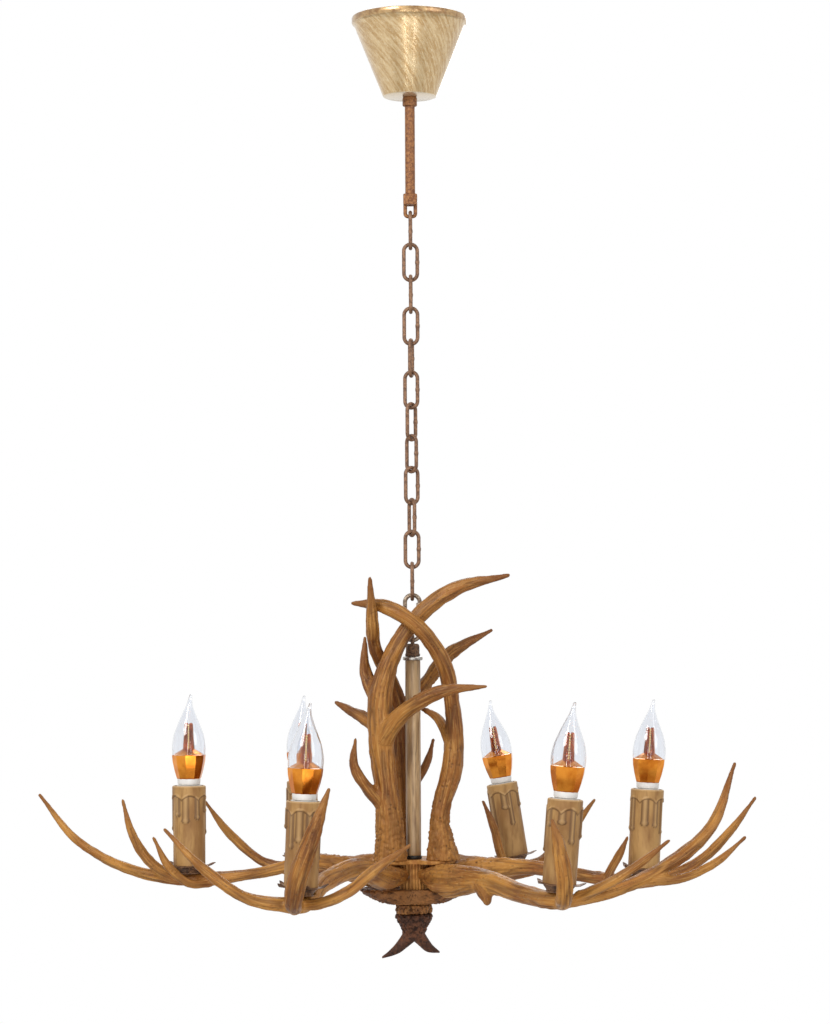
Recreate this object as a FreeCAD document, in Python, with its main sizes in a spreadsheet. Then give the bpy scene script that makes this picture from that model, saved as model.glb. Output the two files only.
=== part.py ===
import FreeCAD, Part
import math
import os

import Sketcher

# Antler chandelier: a ceiling canopy and rod, a chain of twelve links with a screw link,
# and a hub of carved antlers that carries six candle lights.
# Millimetres, +Z up, x to the viewer's right, y away from the viewer.
# The origin is the middle of the crossbar's upper face, where it meets the ceiling.

V = FreeCAD.Vector
UP = V(0, 0, 1)

SIZES = {
    # ceiling bar inside the canopy
    "bar_length": 96.0,
    "bar_width": 22.0,
    "bar_thickness": 3.0,
    "slot_spacing": 70.0,
    "slot_width": 5.2,
    "slot_length": 14.0,
    "earth_screw_place": 20.0,
    "terminal_length": 20.0,
    "terminal_width": 15.0,
    "terminal_height": 12.0,
    "terminal_gap": 1.5,
    "lock_nut_flats": 17.0,
    "lock_nut_height": 5.0,
    # canopy cup and its collar
    "rim_radius": 60.5,
    "rim_height": 7.0,
    "rim_step": 3.0,
    "canopy_height": 83.0,
    "canopy_foot_radius": 28.0,
    "canopy_wall": 1.2,
    "canopy_hole_gap": 0.4,
    "collar_radius": 7.6,
    "collar_height": 9.5,
    "sliding_gap": 0.08,
    "grub_radius": 1.5,
    # rod and its loop
    "rod_radius": 5.2,
    "rod_bore_radius": 3.5,
    "rod_length": 194.0,
    "block_width": 14.6,
    "block_depth": 16.0,
    "block_height": 11.4,
    "block_socket": 9.0,
    "loop_drop": 11.6,
    "loop_corner": 3.0,
    # chain
    "link_wire": 2.0,
    "link_inside_length": 33.6,
    "link_inside_width": 10.0,
    "hanging_gap": 0.2,
    # screw link
    "screw_link_wire": 2.25,
    "screw_link_length": 52.0,
    "screw_link_width": 20.0,
    "screw_link_opening": 6.0,
    "sleeve_nut_radius": 4.2,
    "sleeve_nut_length": 15.0,
    "thread_gap": 0.1,
    # stem
    "eye_wire": 2.0,
    "eye_gap": 1.25,
    "cap_height": 13.5,
    "cap_top_radius": 7.2,
    "cap_foot_radius": 7.8,
    "cap_lip": 3.0,
    "washer_radius": 10.4,
    "washer_height": 4.0,
    "foot_washer_radius": 8.6,
    "stem_length": 204.0,
    "stem_radius": 8.0,
    "stem_wall": 1.2,
    "tie_rod_radius": 4.0,
    "tie_rod_bore": 2.5,
    "tie_rod_grip": 8.0,
    # hub
    "disc_radius": 44.0,
    "disc_height": 4.0,
    "column_radius": 15.5,
    "column_bore": 12.0,
    "column_height": 27.0,
    "column_rib_depth": 0.8,
    "bowl_radius": 58.0,
    "bowl_height": 16.0,
    "bowl_foot_radius": 20.0,
    "burr_radius": 19.0,
    "burr_height": 10.0,
    "burr_groove": 1.2,
    "hub_nut_flats": 13.0,
    "hub_nut_height": 5.5,
    "rod_clearance": 0.2,
    "finial_radius": 19.5,
    "finial_height": 19.0,
    "finial_neck_radius": 11.5,
    # antler screws
    "lag_radius": 2.0,
    "lag_length": 20.0,
    "lag_head_radius": 3.6,
    "lag_head_height": 2.4,
    # candle lights
    "cup_radius": 15.5,
    "cup_foot_radius": 12.5,
    "cup_height": 7.5,
    "tray_flat_radius": 18.0,
    "tray_valley_radius": 21.0,
    "tray_tip_radius": 27.0,
    "tray_thickness": 1.5,
    "tray_tip_rise": 2.5,
    "nipple_radius": 3.5,
    "nipple_bore": 2.2,
    "nipple_sink": 6.0,
    "nipple_thread": 7.0,
    "sleeve_radius": 16.75,
    "sleeve_wall": 1.6,
    "sleeve_height": 83.0,
    "holder_radius": 13.0,
    "holder_height": 45.0,
    "socket_depth": 26.0,
    "socket_gap": 0.4,
    # flame bulbs
    "bulb_cap_radius": 6.9,
    "bulb_cap_length": 24.0,
    "bulb_seat_gap": 0.3,
    "bulb_ring_radius": 12.0,
    "bulb_ring_height": 6.3,
    "bulb_cup_height": 25.0,
    "bulb_radius": 17.4,
    "bulb_glass_wall": 0.9,
    "bulb_glass_height": 62.5,
    "flame_bend": 2.5,
    "mast_radius": 7.7,
    "mast_height": 33.0,
}

# How far each link's flat side is turned about the chain's line, 0 facing the viewer.
LINK_TURNS = (90, 0, 90, 0, 80, -20, 53, -45, 26, -66, 0, 90)

# Six lower antlers. Points are x, y, z and radius, from the middle of the hub's top face.
# flat is the middle of the seat that the light stands on, and lean tips the light to +x.
LOWER_ANTLERS = {
    "a": {
        "azimuth": 185,
        "flat": (-233, -21, -12),
        "lean": 0,
        "beam": (
            (-13, -1, -16, 7),
            (-44, -4, -15, 13),
            (-99, -10, -1, 8.5),
            (-167, -20, -13, 6.5),
            (-233, -21, -18.5, 8),
            (-295, -18, -8, 6),
            (-350, -10, 21, 5),
            (-391, -2, 69, 2),
        ),
        "tines": (
            ((-248, -24, -16, 5.5), (-269, -32, -2, 6), (-290, -37, 29, 5), (-300, -38, 65, 1.5)),
            ((-213, -24, -22, 5), (-233, -43, -20, 5), (-250, -49, -5, 5), (-267, -50, 27, 1.5)),
            ((-229, -20, -18, 5), (-240, 16, -13, 5), (-240, 38, 9, 4.5), (-238, 48, 44, 1.5)),
        ),
    },
    "b": {
        "azimuth": 245,
        "flat": (-107, -228, -15.5),
        "lean": 2.5,
        "beam": (
            (-5.5, -12, -16, 7),
            (-21, -40, -15, 13),
            (-55, -100, -1, 11),
            (-88, -170, -9, 10),
            (-110, -228, -24, 9),
            (-155, -236, -18, 6.5),
            (-199, -232, 10, 5.5),
            (-239, -216, 48, 2),
        ),
        "tines": (
            (
                (-112, -232, -27, 7.5),
                (-112, -262, -16, 9.5),
                (-107, -273, 6, 10.5),
                (-93, -279, 46, 8.5),
                (-77, -280, 90, 2),
            ),
            (
                (-107, -226, -25, 6.5),
                (-88, -240, -22, 6),
                (-60, -248, -10, 6),
                (-32, -253, 13, 5.5),
                (-1, -248, 34, 1.5),
            ),
        ),
    },
    "c": {
        "azimuth": 65,
        "flat": (112, 237, -25),
        "lean": -9,
        "beam": (
            (5.5, 12, -17, 7),
            (19, 38, -15, 13),
            (63, 130, -19, 11),
            (112, 237, -34, 10.5),
            (139, 246, -29, 9),
            (174, 250, 7, 6.5),
            (203, 246, 45, 2),
        ),
        "tines": (
            ((102, 222, -30, 5.5), (95, 206, -12, 5.5), (87, 200, 20, 5), (76, 198, 47, 1.5)),
            ((113, 242, -33, 8), (113, 273, -24, 6.5), (110, 292, 0, 5.5), (108, 300, 26, 1.5)),
        ),
    },
    "d": {
        "azimuth": 305,
        "flat": (143, -205, -16),
        "lean": 4.5,
        "beam": (
            (7.5, -10.6, -17, 7),
            (35, -47, -19, 17),
            (67, -84, -15, 13),
            (116, -165, -23, 10),
            (143, -205, -24, 9),
            (190, -213, -15, 7.5),
            (249, -192, 8, 7),
            (294, -165, 42, 6.5),
            (323, -132, 105, 2),
        ),
        "tines": (
            ((68, -92, -17, 8), (73, -102, -26, 8), (75, -106, -34, 5)),
            (
                (146, -210, -26, 7.5),
                (147, -240, -17, 8.5),
                (146, -253, 4, 8.5),
                (142, -258, 30, 7.5),
                (135, -259, 58, 2),
            ),
            ((157, -212, -22, 6), (188, -232, -6, 5.5), (218, -237, 13, 5), (248, -234, 36, 1.5)),
            ((225, -203, -5, 5.5), (255, -198, -5, 5), (299, -184, 11, 4.5), (328, -174, 34, 1.5)),
        ),
    },
    "e": {
        "azimuth": 5,
        "flat": (242, 21, -20.5),
        "lean": 3,
        "beam": (
            (13, 1, -16, 7),
            (44, 4, -15, 13),
            (113, 12, -10, 9),
            (197, 19, -23, 7.5),
            (242, 21, -27, 8),
            (295, 18, -9, 6),
            (332, 10, 26, 5),
            (358, 0, 62, 1.5),
        ),
        "tines": (
            ((203, 18, -23, 5), (208, 0, -10, 5), (216, -8, 6, 4.5), (223, -12, 22, 1.5)),
            ((249, 22, -27, 5.5), (259, 56, -19, 5.5), (256, 75, 3, 4.5), (253, 83, 38, 1.5)),
        ),
    },
    "f": {
        "azimuth": 125,
        "flat": (-125, 178, -19),
        "lean": 0,
        "beam": (
            (-7.5, 10.6, -17, 7),
            (-22, 35, -15, 13),
            (-67, 105, -14, 9.5),
            (-125, 178, -27, 9),
            (-165, 188, -20, 6),
            (-207, 190, 13, 5.5),
            (-234, 182, 50, 1.5),
        ),
        "tines": (
            ((-125, 180, -28, 7), (-133, 212, -30, 6.5), (-136, 238, -10, 6), (-130, 250, 26, 1.5)),
        ),
    },
}

# Three upper antlers that stand on the hub's top face round the stem.
UPPER_ANTLERS = {
    "a": {
        "foot": (-24, -17),
        "beam": (
            (-24, -17, -3, 17.5),
            (-25, -19, 38, 15),
            (-28, -22, 76, 12.5),
            (-33, -24, 128, 14),
            (-33, -25, 174, 12.5),
            (-9, -25, 235, 9),
            (40, -26, 280, 8.5),
            (100, -37, 296, 2.5),
        ),
        "tines": (
            ((-37, -22, 166, 9), (-49, -10, 194, 7), (-50, 2, 232, 2)),
            ((-28, -21, 52, 7), (-47, -32, 76, 7), (-61, -39, 101, 5.5), (-59, -42, 127, 1.5)),
            ((-33, -16, 136, 7), (-54, -2, 149, 7), (-81, 12, 164, 2.5)),
            ((-31, -28, 125, 10.5), (-12, -44, 152, 9), (28, -62, 176, 7.5), (75, -72, 182, 2)),
        ),
    },
    "b": {
        "foot": (31, -13),
        "beam": (
            (31, -13, -3, 17.5),
            (28, -13, 45, 10.5),
            (41, -14, 99, 12),
            (42, -19, 152, 9),
            (29, -32, 212, 8.5),
            (3, -45, 246, 8.5),
            (-31, -34, 265, 7.5),
            (-62, -20, 268, 2.5),
        ),
        "tines": (((38, -15, 124, 6), (27, 0, 146, 5.5), (7, 14, 159, 2)),),
    },
    "c": {
        "foot": (-11, 28),
        "beam": (
            (-11, 28, -3, 15.5),
            (-10, 27, 37, 10.5),
            (-14, 25, 100, 9.5),
            (-16, 17, 158, 10),
            (-31, -2, 203, 8.5),
            (-39, -15, 222, 7.5),
            (-41, -36, 247, 7),
            (-43, -56, 293, 2.5),
        ),
        "tines": (
            ((-15, 19, 150, 9.5), (9, 30, 178, 8), (39, 28, 214, 7.5), (83, 24, 239, 2)),
            ((-12, 27, 66, 6.5), (3, 33, 80, 5.5), (15, 37, 101, 4.5), (21, 38, 123, 1.5)),
        ),
    },
}

# The flame bulb's glass: shares of its height and of its greatest radius.
FLAME = ((0, 0.985), (0.12, 1.0), (0.3, 0.91), (0.5, 0.66), (0.7, 0.36), (0.85, 0.16), (1, 0.05))

# The finial's two spikes, from the middle of its upper face.
FINIAL_SPIKES = (
    ((4, 0, -15, 9.5), (-6, -3, -25, 7.5), (-18, -5, -37, 5), (-33, -6, -45, 1.5)),
    ((-4, 0, -15, 9.5), (6, 3, -26, 7), (16, 5, -37, 5), (26, 6, -41, 1.5)),
)

BEAM_SIDES = 8
BEAM_STEP = 27.0
TINE_SIDES = 6
TINE_STEP = 20.0
WIRE_SIDES = 8
BEND_STEP = 45
SLEEVE_SIDES = 16
ROUND_SIDES = 12
SCREW_SIDES = 8
HUB_SIDES = 24
TRAY_TIPS = 5
COLUMN_RIBS = 12

doc = FreeCAD.newDocument("antler_chandelier")
sheet = doc.addObject("Spreadsheet::Sheet", "sizes")
for row, (name, value) in enumerate(SIZES.items(), start=1):
    sheet.set(f"A{row}", name)
    sheet.set(f"B{row}", str(value))
    sheet.setAlias(f"B{row}", name)
doc.recompute()


class Size(float):
    """A length that also carries the expression that binds it to the sheet."""

    def __new__(cls, value, text):
        made = float.__new__(cls, value)
        made.text = text
        return made

    def __add__(self, other):
        return Size(float(self) + float(other), f"({self.text} + {text_of(other)})")

    def __sub__(self, other):
        return Size(float(self) - float(other), f"({self.text} - {text_of(other)})")

    def __mul__(self, other):
        return Size(float(self) * float(other), f"({self.text} * {text_of(other)})")

    def __truediv__(self, other):
        return Size(float(self) / float(other), f"({self.text} / {text_of(other)})")

    def __neg__(self):
        return Size(-float(self), f"(0 - {self.text})")


def text_of(number):
    return number.text if isinstance(number, Size) else repr(float(number))


def size(name):
    return Size(sheet.get(name), f"sizes.{name}")


nodes = []


def node(label, piece):
    """Names a finished sub-part. The name is also its file's."""
    piece.Label = label
    nodes.append(piece)
    return piece


def bind(piece, prop, value):
    if isinstance(value, Size):
        piece.setExpression(prop, value.text)
    else:
        setattr(piece, prop, value)


def place(piece, at, axis=UP):
    """Puts a piece at a point, with its own z along axis."""
    piece.Placement = FreeCAD.Placement(V(*[float(c) for c in at]), FreeCAD.Rotation(UP, axis))
    for letter, value in zip("xyz", at):
        if isinstance(value, Size):
            piece.setExpression(f"Placement.Base.{letter}", value.text)
    return piece


def cylinder(name, radius, height, at=(0, 0, 0), axis=UP):
    made = doc.addObject("Part::Cylinder", name)
    bind(made, "Radius", radius)
    bind(made, "Height", height)
    return place(made, at, axis)


def box(name, length, width, height, at):
    """A box whose bottom face is centred on a point."""
    made = doc.addObject("Part::Box", name)
    bind(made, "Length", length)
    bind(made, "Width", width)
    bind(made, "Height", height)
    x, y, z = at
    return place(made, (x - length / 2, y - width / 2, z))


def hexagon(name, flats, height, at):
    made = doc.addObject("Part::Prism", name)
    made.Polygon = 6
    bind(made, "Circumradius", flats / math.sqrt(3))
    bind(made, "Height", height)
    return place(made, at)


def joined(name, *pieces):
    made = doc.addObject("Part::MultiFuse", name)
    made.Shapes = list(pieces)
    return made


def cut(name, base, *tools):
    made = doc.addObject("Part::Cut", name)
    made.Base = base
    made.Tool = tools[0] if len(tools) == 1 else joined(name + "_tools", *tools)
    return made


def solid(name, shape, frame=None):
    """A piece whose shape no feature of the document makes, such as an antler."""
    made = doc.addObject("Part::Feature", name)
    made.Shape = shape
    if frame:
        made.Placement = frame
    return made


def grouped(name, pieces):
    made = doc.addObject("Part::Compound", name)
    made.Links = list(pieces)
    return made


def frame_at(at, axis=UP):
    return FreeCAD.Placement(V(*at), FreeCAD.Rotation(UP, axis))


def revolved(name, corners):
    """A body turned about z from corners given as radius and height."""
    body = doc.addObject("PartDesign::Body", name)
    origin = {part.Role: part for part in body.Origin.OriginFeatures}
    sketch = body.newObject("Sketcher::SketchObject", name + "_profile")
    sketch.AttachmentSupport = [(origin["XZ_Plane"], "")]
    sketch.MapMode = "FlatFace"
    places = [V(float(radius), float(height), 0) for radius, height in corners]
    for index, start in enumerate(places):
        end = places[(index + 1) % len(places)]
        sketch.addGeometry(Part.LineSegment(start, end), False)
    for index, (radius, height) in enumerate(corners):
        after = (index + 1) % len(corners)
        sketch.addConstraint(Sketcher.Constraint("Coincident", index, 2, after, 1))
        for kind, letter, value in (("DistanceX", "x", radius), ("DistanceY", "y", height)):
            if float(value) == 0.0:
                axis = -2 if kind == "DistanceX" else -1
                sketch.addConstraint(Sketcher.Constraint("PointOnObject", index, 1, axis))
                continue
            row = sketch.addConstraint(
                Sketcher.Constraint(kind, -1, 1, index, 1, float(value))
            )
            sketch.renameConstraint(row, f"{letter}{index}")
            if isinstance(value, Size):
                sketch.setExpression(f"Constraints.{letter}{index}", value.text)
    turn = body.newObject("PartDesign::Revolution", name + "_turn")
    turn.Profile = sketch
    turn.ReferenceAxis = (sketch, ["V_Axis"])
    turn.Angle = 360.0
    return body


def flat_face(points):
    return Part.Face(Part.makePolygon(points + points[:1]))


def is_flat(a, b, c, d):
    return abs((b - a).cross(c - a).dot(d - a)) < 1e-6


def skin(rings, closed=False):
    """A solid bounded by flat facets between rings that have equally many points."""
    faces = []
    count = len(rings[0])
    pairs = list(zip(rings, rings[1:]))
    if closed:
        pairs.append((rings[-1], rings[0]))
    for low, high in pairs:
        for k in range(count):
            after = (k + 1) % count
            a, b, c, d = low[k], low[after], high[after], high[k]
            if is_flat(a, b, c, d):
                faces.append(flat_face([a, b, c, d]))
            else:
                faces.append(flat_face([a, b, c]))
                faces.append(flat_face([a, c, d]))
    if not closed:
        faces.append(flat_face(rings[0][::-1]))
        faces.append(flat_face(rings[-1]))
    shell = Part.makeShell(faces)
    shell.sewShape()
    made = Part.makeSolid(shell)
    if made.Volume < 0:
        made.reverse()
    return made


def ring(centre, radius, count, across=V(1, 0, 0), along=V(0, 1, 0), phase=0.0):
    points = []
    for k in range(count):
        angle = 2 * math.pi * (k + phase) / count
        points.append(centre + across * (radius * math.cos(angle)) + along * (radius * math.sin(angle)))
    return points


def turned(profile, count=ROUND_SIDES, closed=False, groove=0.0):
    """A many-sided turning from radius and height pairs. A third value there says that
    every other corner of that ring is drawn in by the groove."""
    rings = []
    for radius, height, *grooved in profile:
        points = ring(V(0, 0, height), radius, count)
        if grooved:
            points[1::2] = ring(V(0, 0, height), radius - groove, count)[1::2]
        rings.append(points)
    return skin(rings, closed)


def branch(points, sides, step):
    """A horn that follows a smooth line through a few points and swells with their radii."""
    line = Part.BSplineCurve()
    line.interpolate([V(*point[:3]) for point in points])
    stops = [line.parameter(V(*point[:3])) for point in points]
    radii = [point[3] for point in points]
    length = line.length()
    count = max(3, round(length / step))
    rings = []
    side = None
    for k in range(count + 1):
        where = line.parameterAtDistance(length * k / count, line.FirstParameter)
        along = line.tangent(where)[0]
        if side is None:
            side = along.cross(UP if abs(along.z) < 0.9 else V(1, 0, 0))
        side = (side - along * side.dot(along)).normalize()
        radius = between(where, stops, radii)
        rings.append(ring(line.value(where), radius, sides, side, along.cross(side)))
    return skin(rings)


def between(where, stops, values):
    """Reads values that are given at stops, in between them."""
    for k in range(len(stops) - 1):
        if where <= stops[k + 1] or k == len(stops) - 2:
            share = min(1.0, (where - stops[k]) / (stops[k + 1] - stops[k]))
            return values[k] + (values[k + 1] - values[k]) * share


def bent_wire(stations, radius, along, closed=False):
    """A wire with flat sides through mitred stations. Its flats lie on the wire's radius."""
    corner = radius / math.cos(math.pi / WIRE_SIDES)
    rings = [ring(point, corner, WIRE_SIDES, mitre, along, phase=0.5) for point, mitre in stations]
    return skin(rings, closed)


def bend_stations(centre, radius, start, end, across=V(1, 0, 0)):
    """Mitred corners round a bend, between two angles in the plane of across and z. The
    straight pieces between them touch the true bend, and the first and last run on past it."""
    stretch = 1 / math.cos(math.radians(BEND_STEP / 2))
    stations = []
    for k in range(round((end - start) / BEND_STEP)):
        turn = math.radians(start + BEND_STEP * (k + 0.5))
        mitre = (across * math.cos(turn) + UP * math.sin(turn)) * stretch
        stations.append((centre + mitre * radius, mitre))
    return stations


def oval_link(wire, outside_length, outside_width):
    """An upright oval link of round wire, in the x-z plane."""
    bend = outside_width / 2 - wire
    rise = UP * (outside_length / 2 - wire - bend)
    stations = bend_stations(rise, bend, 0, 180) + bend_stations(-rise, bend, 180, 360)
    return bent_wire(stations, wire, V(0, 1, 0), closed=True)


# ceiling bar ---------------------------------------------------------------------------------

bar_thickness = size("bar_thickness")
rod_radius = size("rod_radius")
slot_half = (size("slot_length") - size("slot_width")) / 2
slot_radius = size("slot_width") / 2
slot_place = size("slot_spacing") / 2
through = bar_thickness + 2

bar_blank = box("bar_blank", size("bar_length"), size("bar_width"), bar_thickness, (0, 0, -bar_thickness))
bar_holes = [cylinder("bar_rod_hole", rod_radius, through, (0, 0, -bar_thickness - 1))]
for side in (-1, 1):
    middle = slot_place * side
    bar_holes.append(
        box(f"slot_middle{side}", slot_half * 2, slot_radius * 2, through, (middle, 0, -bar_thickness - 1))
    )
    for end in (-1, 1):
        bar_holes.append(
            cylinder(
                f"slot_end{side}{end}",
                slot_radius,
                through,
                (middle + slot_half * end, 0, -bar_thickness - 1),
            )
        )
earth_radius = 2.0
earth_place = size("earth_screw_place")
bar_holes.append(cylinder("bar_earth_hole", earth_radius, through, (earth_place, 0, -bar_thickness - 1)))
node("crossbar", cut("crossbar_cut", bar_blank, *bar_holes))

earth_shank = cylinder("earth_shank", earth_radius, bar_thickness + 2, (earth_place, 0, -bar_thickness - 1))
earth_head = cylinder("earth_head", earth_radius * 2, 2.4, (earth_place, 0, -bar_thickness - 2.4))
node("earth_screw", joined("earth_screw_whole", earth_shank, earth_head))

lock_nut_height = size("lock_nut_height")
lock_nut_blank = hexagon(
    "lock_nut_blank", size("lock_nut_flats"), lock_nut_height, (0, 0, -bar_thickness - lock_nut_height)
)
lock_nut_bore = cylinder(
    "lock_nut_bore", rod_radius, lock_nut_height + 2, (0, 0, -bar_thickness - lock_nut_height - 1)
)
node("rod_lock_nut", cut("rod_lock_nut_cut", lock_nut_blank, lock_nut_bore))

terminal_height = size("terminal_height")
terminal_width = size("terminal_width")
terminal_middle = -(size("lock_nut_flats") / math.sqrt(3)) - size("terminal_gap") - terminal_width / 2
terminal_foot = -bar_thickness - terminal_height
terminal_blank = box(
    "terminal_blank", terminal_width, size("terminal_length"), terminal_height, (terminal_middle, 0, terminal_foot)
)
wire_hole = 1.8
pole_pitch = size("terminal_length") / 3
terminal_holes = []
for pole in (-1, 0, 1):
    terminal_holes.append(
        cylinder(
            f"wire_hole{pole}",
            wire_hole,
            terminal_width + 2,
            (terminal_middle - terminal_width / 2 - 1, pole_pitch * pole, terminal_foot + terminal_height / 3),
            V(1, 0, 0),
        )
    )
node("terminal_block", cut("terminal_block_cut", terminal_blank, *terminal_holes))

# canopy --------------------------------------------------------------------------------------

canopy_height = size("canopy_height")
rim_radius = size("rim_radius")
rim_height = size("rim_height")
shoulder_radius = rim_radius - size("rim_step")
foot_radius = size("canopy_foot_radius")
wall = size("canopy_wall")
canopy_hole = rod_radius + size("canopy_hole_gap")
canopy_corners = (
    (shoulder_radius - wall, 0),
    (rim_radius, 0),
    (rim_radius, -rim_height),
    (shoulder_radius, -rim_height),
    (foot_radius, -canopy_height),
    (canopy_hole, -canopy_height),
    (canopy_hole, -canopy_height + wall),
    (foot_radius - wall, -canopy_height + wall),
    (shoulder_radius - wall, -rim_height),
)
node("canopy_cup", revolved("canopy_cup_body", canopy_corners))

collar_radius = size("collar_radius")
collar_height = size("collar_height")
collar_bore = rod_radius + size("sliding_gap")
collar_foot = -canopy_height - collar_height
grub_radius = size("grub_radius")
grub_height = collar_foot + collar_height / 2
collar_ring = revolved(
    "collar_ring",
    (
        (collar_bore, -canopy_height),
        (collar_radius, -canopy_height),
        (collar_radius, collar_foot),
        (collar_bore, collar_foot),
    ),
)
grub_hole = cylinder("grub_hole", grub_radius, collar_radius, (0, collar_bore - 1, grub_height), V(0, 1, 0))
node("canopy_collar", cut("canopy_collar_cut", collar_ring, grub_hole))
node(
    "collar_set_screw",
    cylinder(
        "collar_grub",
        grub_radius,
        collar_radius - collar_bore + 1.5,
        (0, collar_bore, grub_height),
        V(0, 1, 0),
    ),
)

# rod and its loop ----------------------------------------------------------------------------

rod_length = size("rod_length")
rod_blank = cylinder("rod_blank", rod_radius, rod_length, (0, 0, -rod_length))
rod_bore = cylinder("rod_bore", size("rod_bore_radius"), rod_length + 2, (0, 0, -rod_length - 1))
node("suspension_rod", cut("suspension_rod_cut", rod_blank, rod_bore))

block_width = size("block_width")
block_depth = size("block_depth")
block_height = size("block_height")
block_foot = -rod_length + size("block_socket") - block_height
link_wire = size("link_wire")
loop_bar = block_foot - size("loop_drop")

loop_half = block_width / 2 - link_wire
loop_corner = size("loop_corner")
loop_middle = UP * float(loop_bar + loop_corner)
corner_place = V(float(loop_half - loop_corner), 0, 0)
loop_stations = [(V(-float(loop_half), 0, block_foot + 1), V(-1, 0, 0))]
loop_stations += bend_stations(loop_middle - corner_place, loop_corner, 180, 270)
loop_stations += bend_stations(loop_middle + corner_place, loop_corner, 270, 360)
loop_stations += [(V(loop_half, 0, block_foot + 1), V(1, 0, 0))]
loop_wire = solid("loop_wire", bent_wire(loop_stations, link_wire, V(0, 1, 0)))

block = box("loop_block", block_width, block_depth, block_height, (0, 0, block_foot))
rod_socket = cylinder("rod_socket", rod_radius, block_height, (0, 0, -rod_length))
cable_hole = cylinder("cable_hole", size("rod_bore_radius"), block_height, (0, 0, block_foot - 1))
grub_middle = block_foot + block_height / 2
block_grub_hole = cylinder(
    "block_grub_hole", grub_radius, block_depth / 2, (0, -block_depth / 2 - 1, grub_middle), V(0, 1, 0)
)
bored_block = cut("bored_block", block, rod_socket, cable_hole, block_grub_hole)
node("rod_loop", joined("rod_loop_whole", bored_block, loop_wire))
node(
    "loop_set_screw",
    cylinder(
        "loop_grub",
        grub_radius,
        block_depth / 2 - rod_radius - 0.6,
        (0, -rod_radius, grub_middle),
        V(0, -1, 0),
    ),
)

# chain ---------------------------------------------------------------------------------------

inside_length = size("link_inside_length")
hanging_gap = size("hanging_gap")
link_length = inside_length + link_wire * 4
link_width = size("link_inside_width") + link_wire * 4
link_shape = oval_link(float(link_wire), float(link_length), float(link_width))
contact = loop_bar
for number, turn in enumerate(LINK_TURNS, start=1):
    middle = contact + hanging_gap + link_wire * 3 - link_length / 2
    frame = FreeCAD.Placement(V(0, 0, float(middle)), FreeCAD.Rotation(UP, turn))
    node(f"link_{number:02d}", solid(f"chain_link_{number:02d}", link_shape.copy(), frame))
    contact = middle - link_length / 2 + link_wire

# screw link ----------------------------------------------------------------------------------

screw_wire = size("screw_link_wire")
screw_length = size("screw_link_length")
screw_width = size("screw_link_width")
opening = size("screw_link_opening")
nut_length = size("sleeve_nut_length")
screw_middle = contact + link_wire + hanging_gap + screw_wire * 2 - screw_length / 2
leg_place = screw_width / 2 - screw_wire
straight_end = screw_length / 2 - screw_width / 2
opening_top = straight_end - 1.5
opening_foot = opening_top - opening
screw_oval = solid("screw_oval", oval_link(float(screw_wire), float(screw_length), float(screw_width)))
leg_gap = box("leg_gap", screw_wire * 4, screw_wire * 4, opening, (leg_place, 0, opening_foot))
screw_stub = cylinder("screw_stub", screw_wire * 0.82, opening / 2, (leg_place, 0, opening_foot - 1))
quick_link = joined("quick_link_whole", cut("open_oval", screw_oval, leg_gap), screw_stub)
node("quick_link", place(quick_link, (0, 0, screw_middle)))

nut_top = opening_top + 1.0
nut_bore = screw_wire / math.cos(math.pi / WIRE_SIDES) + size("thread_gap")
nut_blank = cylinder("nut_blank", size("sleeve_nut_radius"), nut_length, (leg_place, 0, nut_top - nut_length))
nut_hole = cylinder("nut_hole", nut_bore, nut_length + 2, (leg_place, 0, nut_top - nut_length - 1))
sleeve_nut = cut("sleeve_nut", nut_blank, nut_hole)
node("quick_link_nut", place(sleeve_nut, (0, 0, screw_middle)))

# stem ----------------------------------------------------------------------------------------

eye_wire = size("eye_wire")
eye_gap = size("eye_gap")
swing_point = screw_middle - screw_length / 2 + screw_wire
cap_height = size("cap_height")
cap_top = swing_point - screw_wire - eye_gap
cap_foot = cap_top - cap_height
washer_height = size("washer_height")
stem_length = size("stem_length")
stem_radius = size("stem_radius")
hub_top = cap_foot - washer_height * 2 - stem_length
tie_radius = size("tie_rod_radius")
tie_bore = size("tie_rod_bore")
tie_grip = size("tie_rod_grip")

eye_half = screw_wire + eye_gap + eye_wire
eye_top = swing_point + screw_wire + hanging_gap + eye_wire
eye_middle = UP * float(eye_top - eye_half)
eye_stations = [(V(0, eye_half, cap_top - 2), V(0, 1, 0))]
eye_stations += bend_stations(eye_middle, float(eye_half), 0, 180, V(0, 1, 0))
eye_stations += [(V(0, -float(eye_half), cap_top - 2), V(0, -1, 0))]
eye = solid("cap_eye", bent_wire(eye_stations, eye_wire, V(1, 0, 0)))
cap_turning = revolved(
    "cap_turning",
    (
        (0, cap_foot),
        (size("cap_foot_radius"), cap_foot),
        (size("cap_foot_radius"), cap_foot + size("cap_lip")),
        (size("cap_top_radius"), cap_foot + size("cap_lip")),
        (size("cap_top_radius"), cap_top),
        (0, cap_top),
    ),
)
cap_thread = cylinder("cap_thread", tie_radius, tie_grip + 1, (0, 0, cap_foot - 1))
node("stem_cap", cut("stem_cap_cut", joined("cap_and_eye", cap_turning, eye), cap_thread))

washers = []
for name, radius, foot in (
    ("head", size("washer_radius"), cap_foot - washer_height),
    ("foot", size("foot_washer_radius"), hub_top),
):
    blank = cylinder(f"{name}_washer_blank", radius, washer_height, (0, 0, foot))
    hole = cylinder(f"{name}_washer_hole", tie_radius + size("rod_clearance"), washer_height + 2, (0, 0, foot - 1))
    washers.append(cut(f"{name}_washer", blank, hole))
node("stem_washers", grouped("stem_washer_pair", washers))

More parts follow.
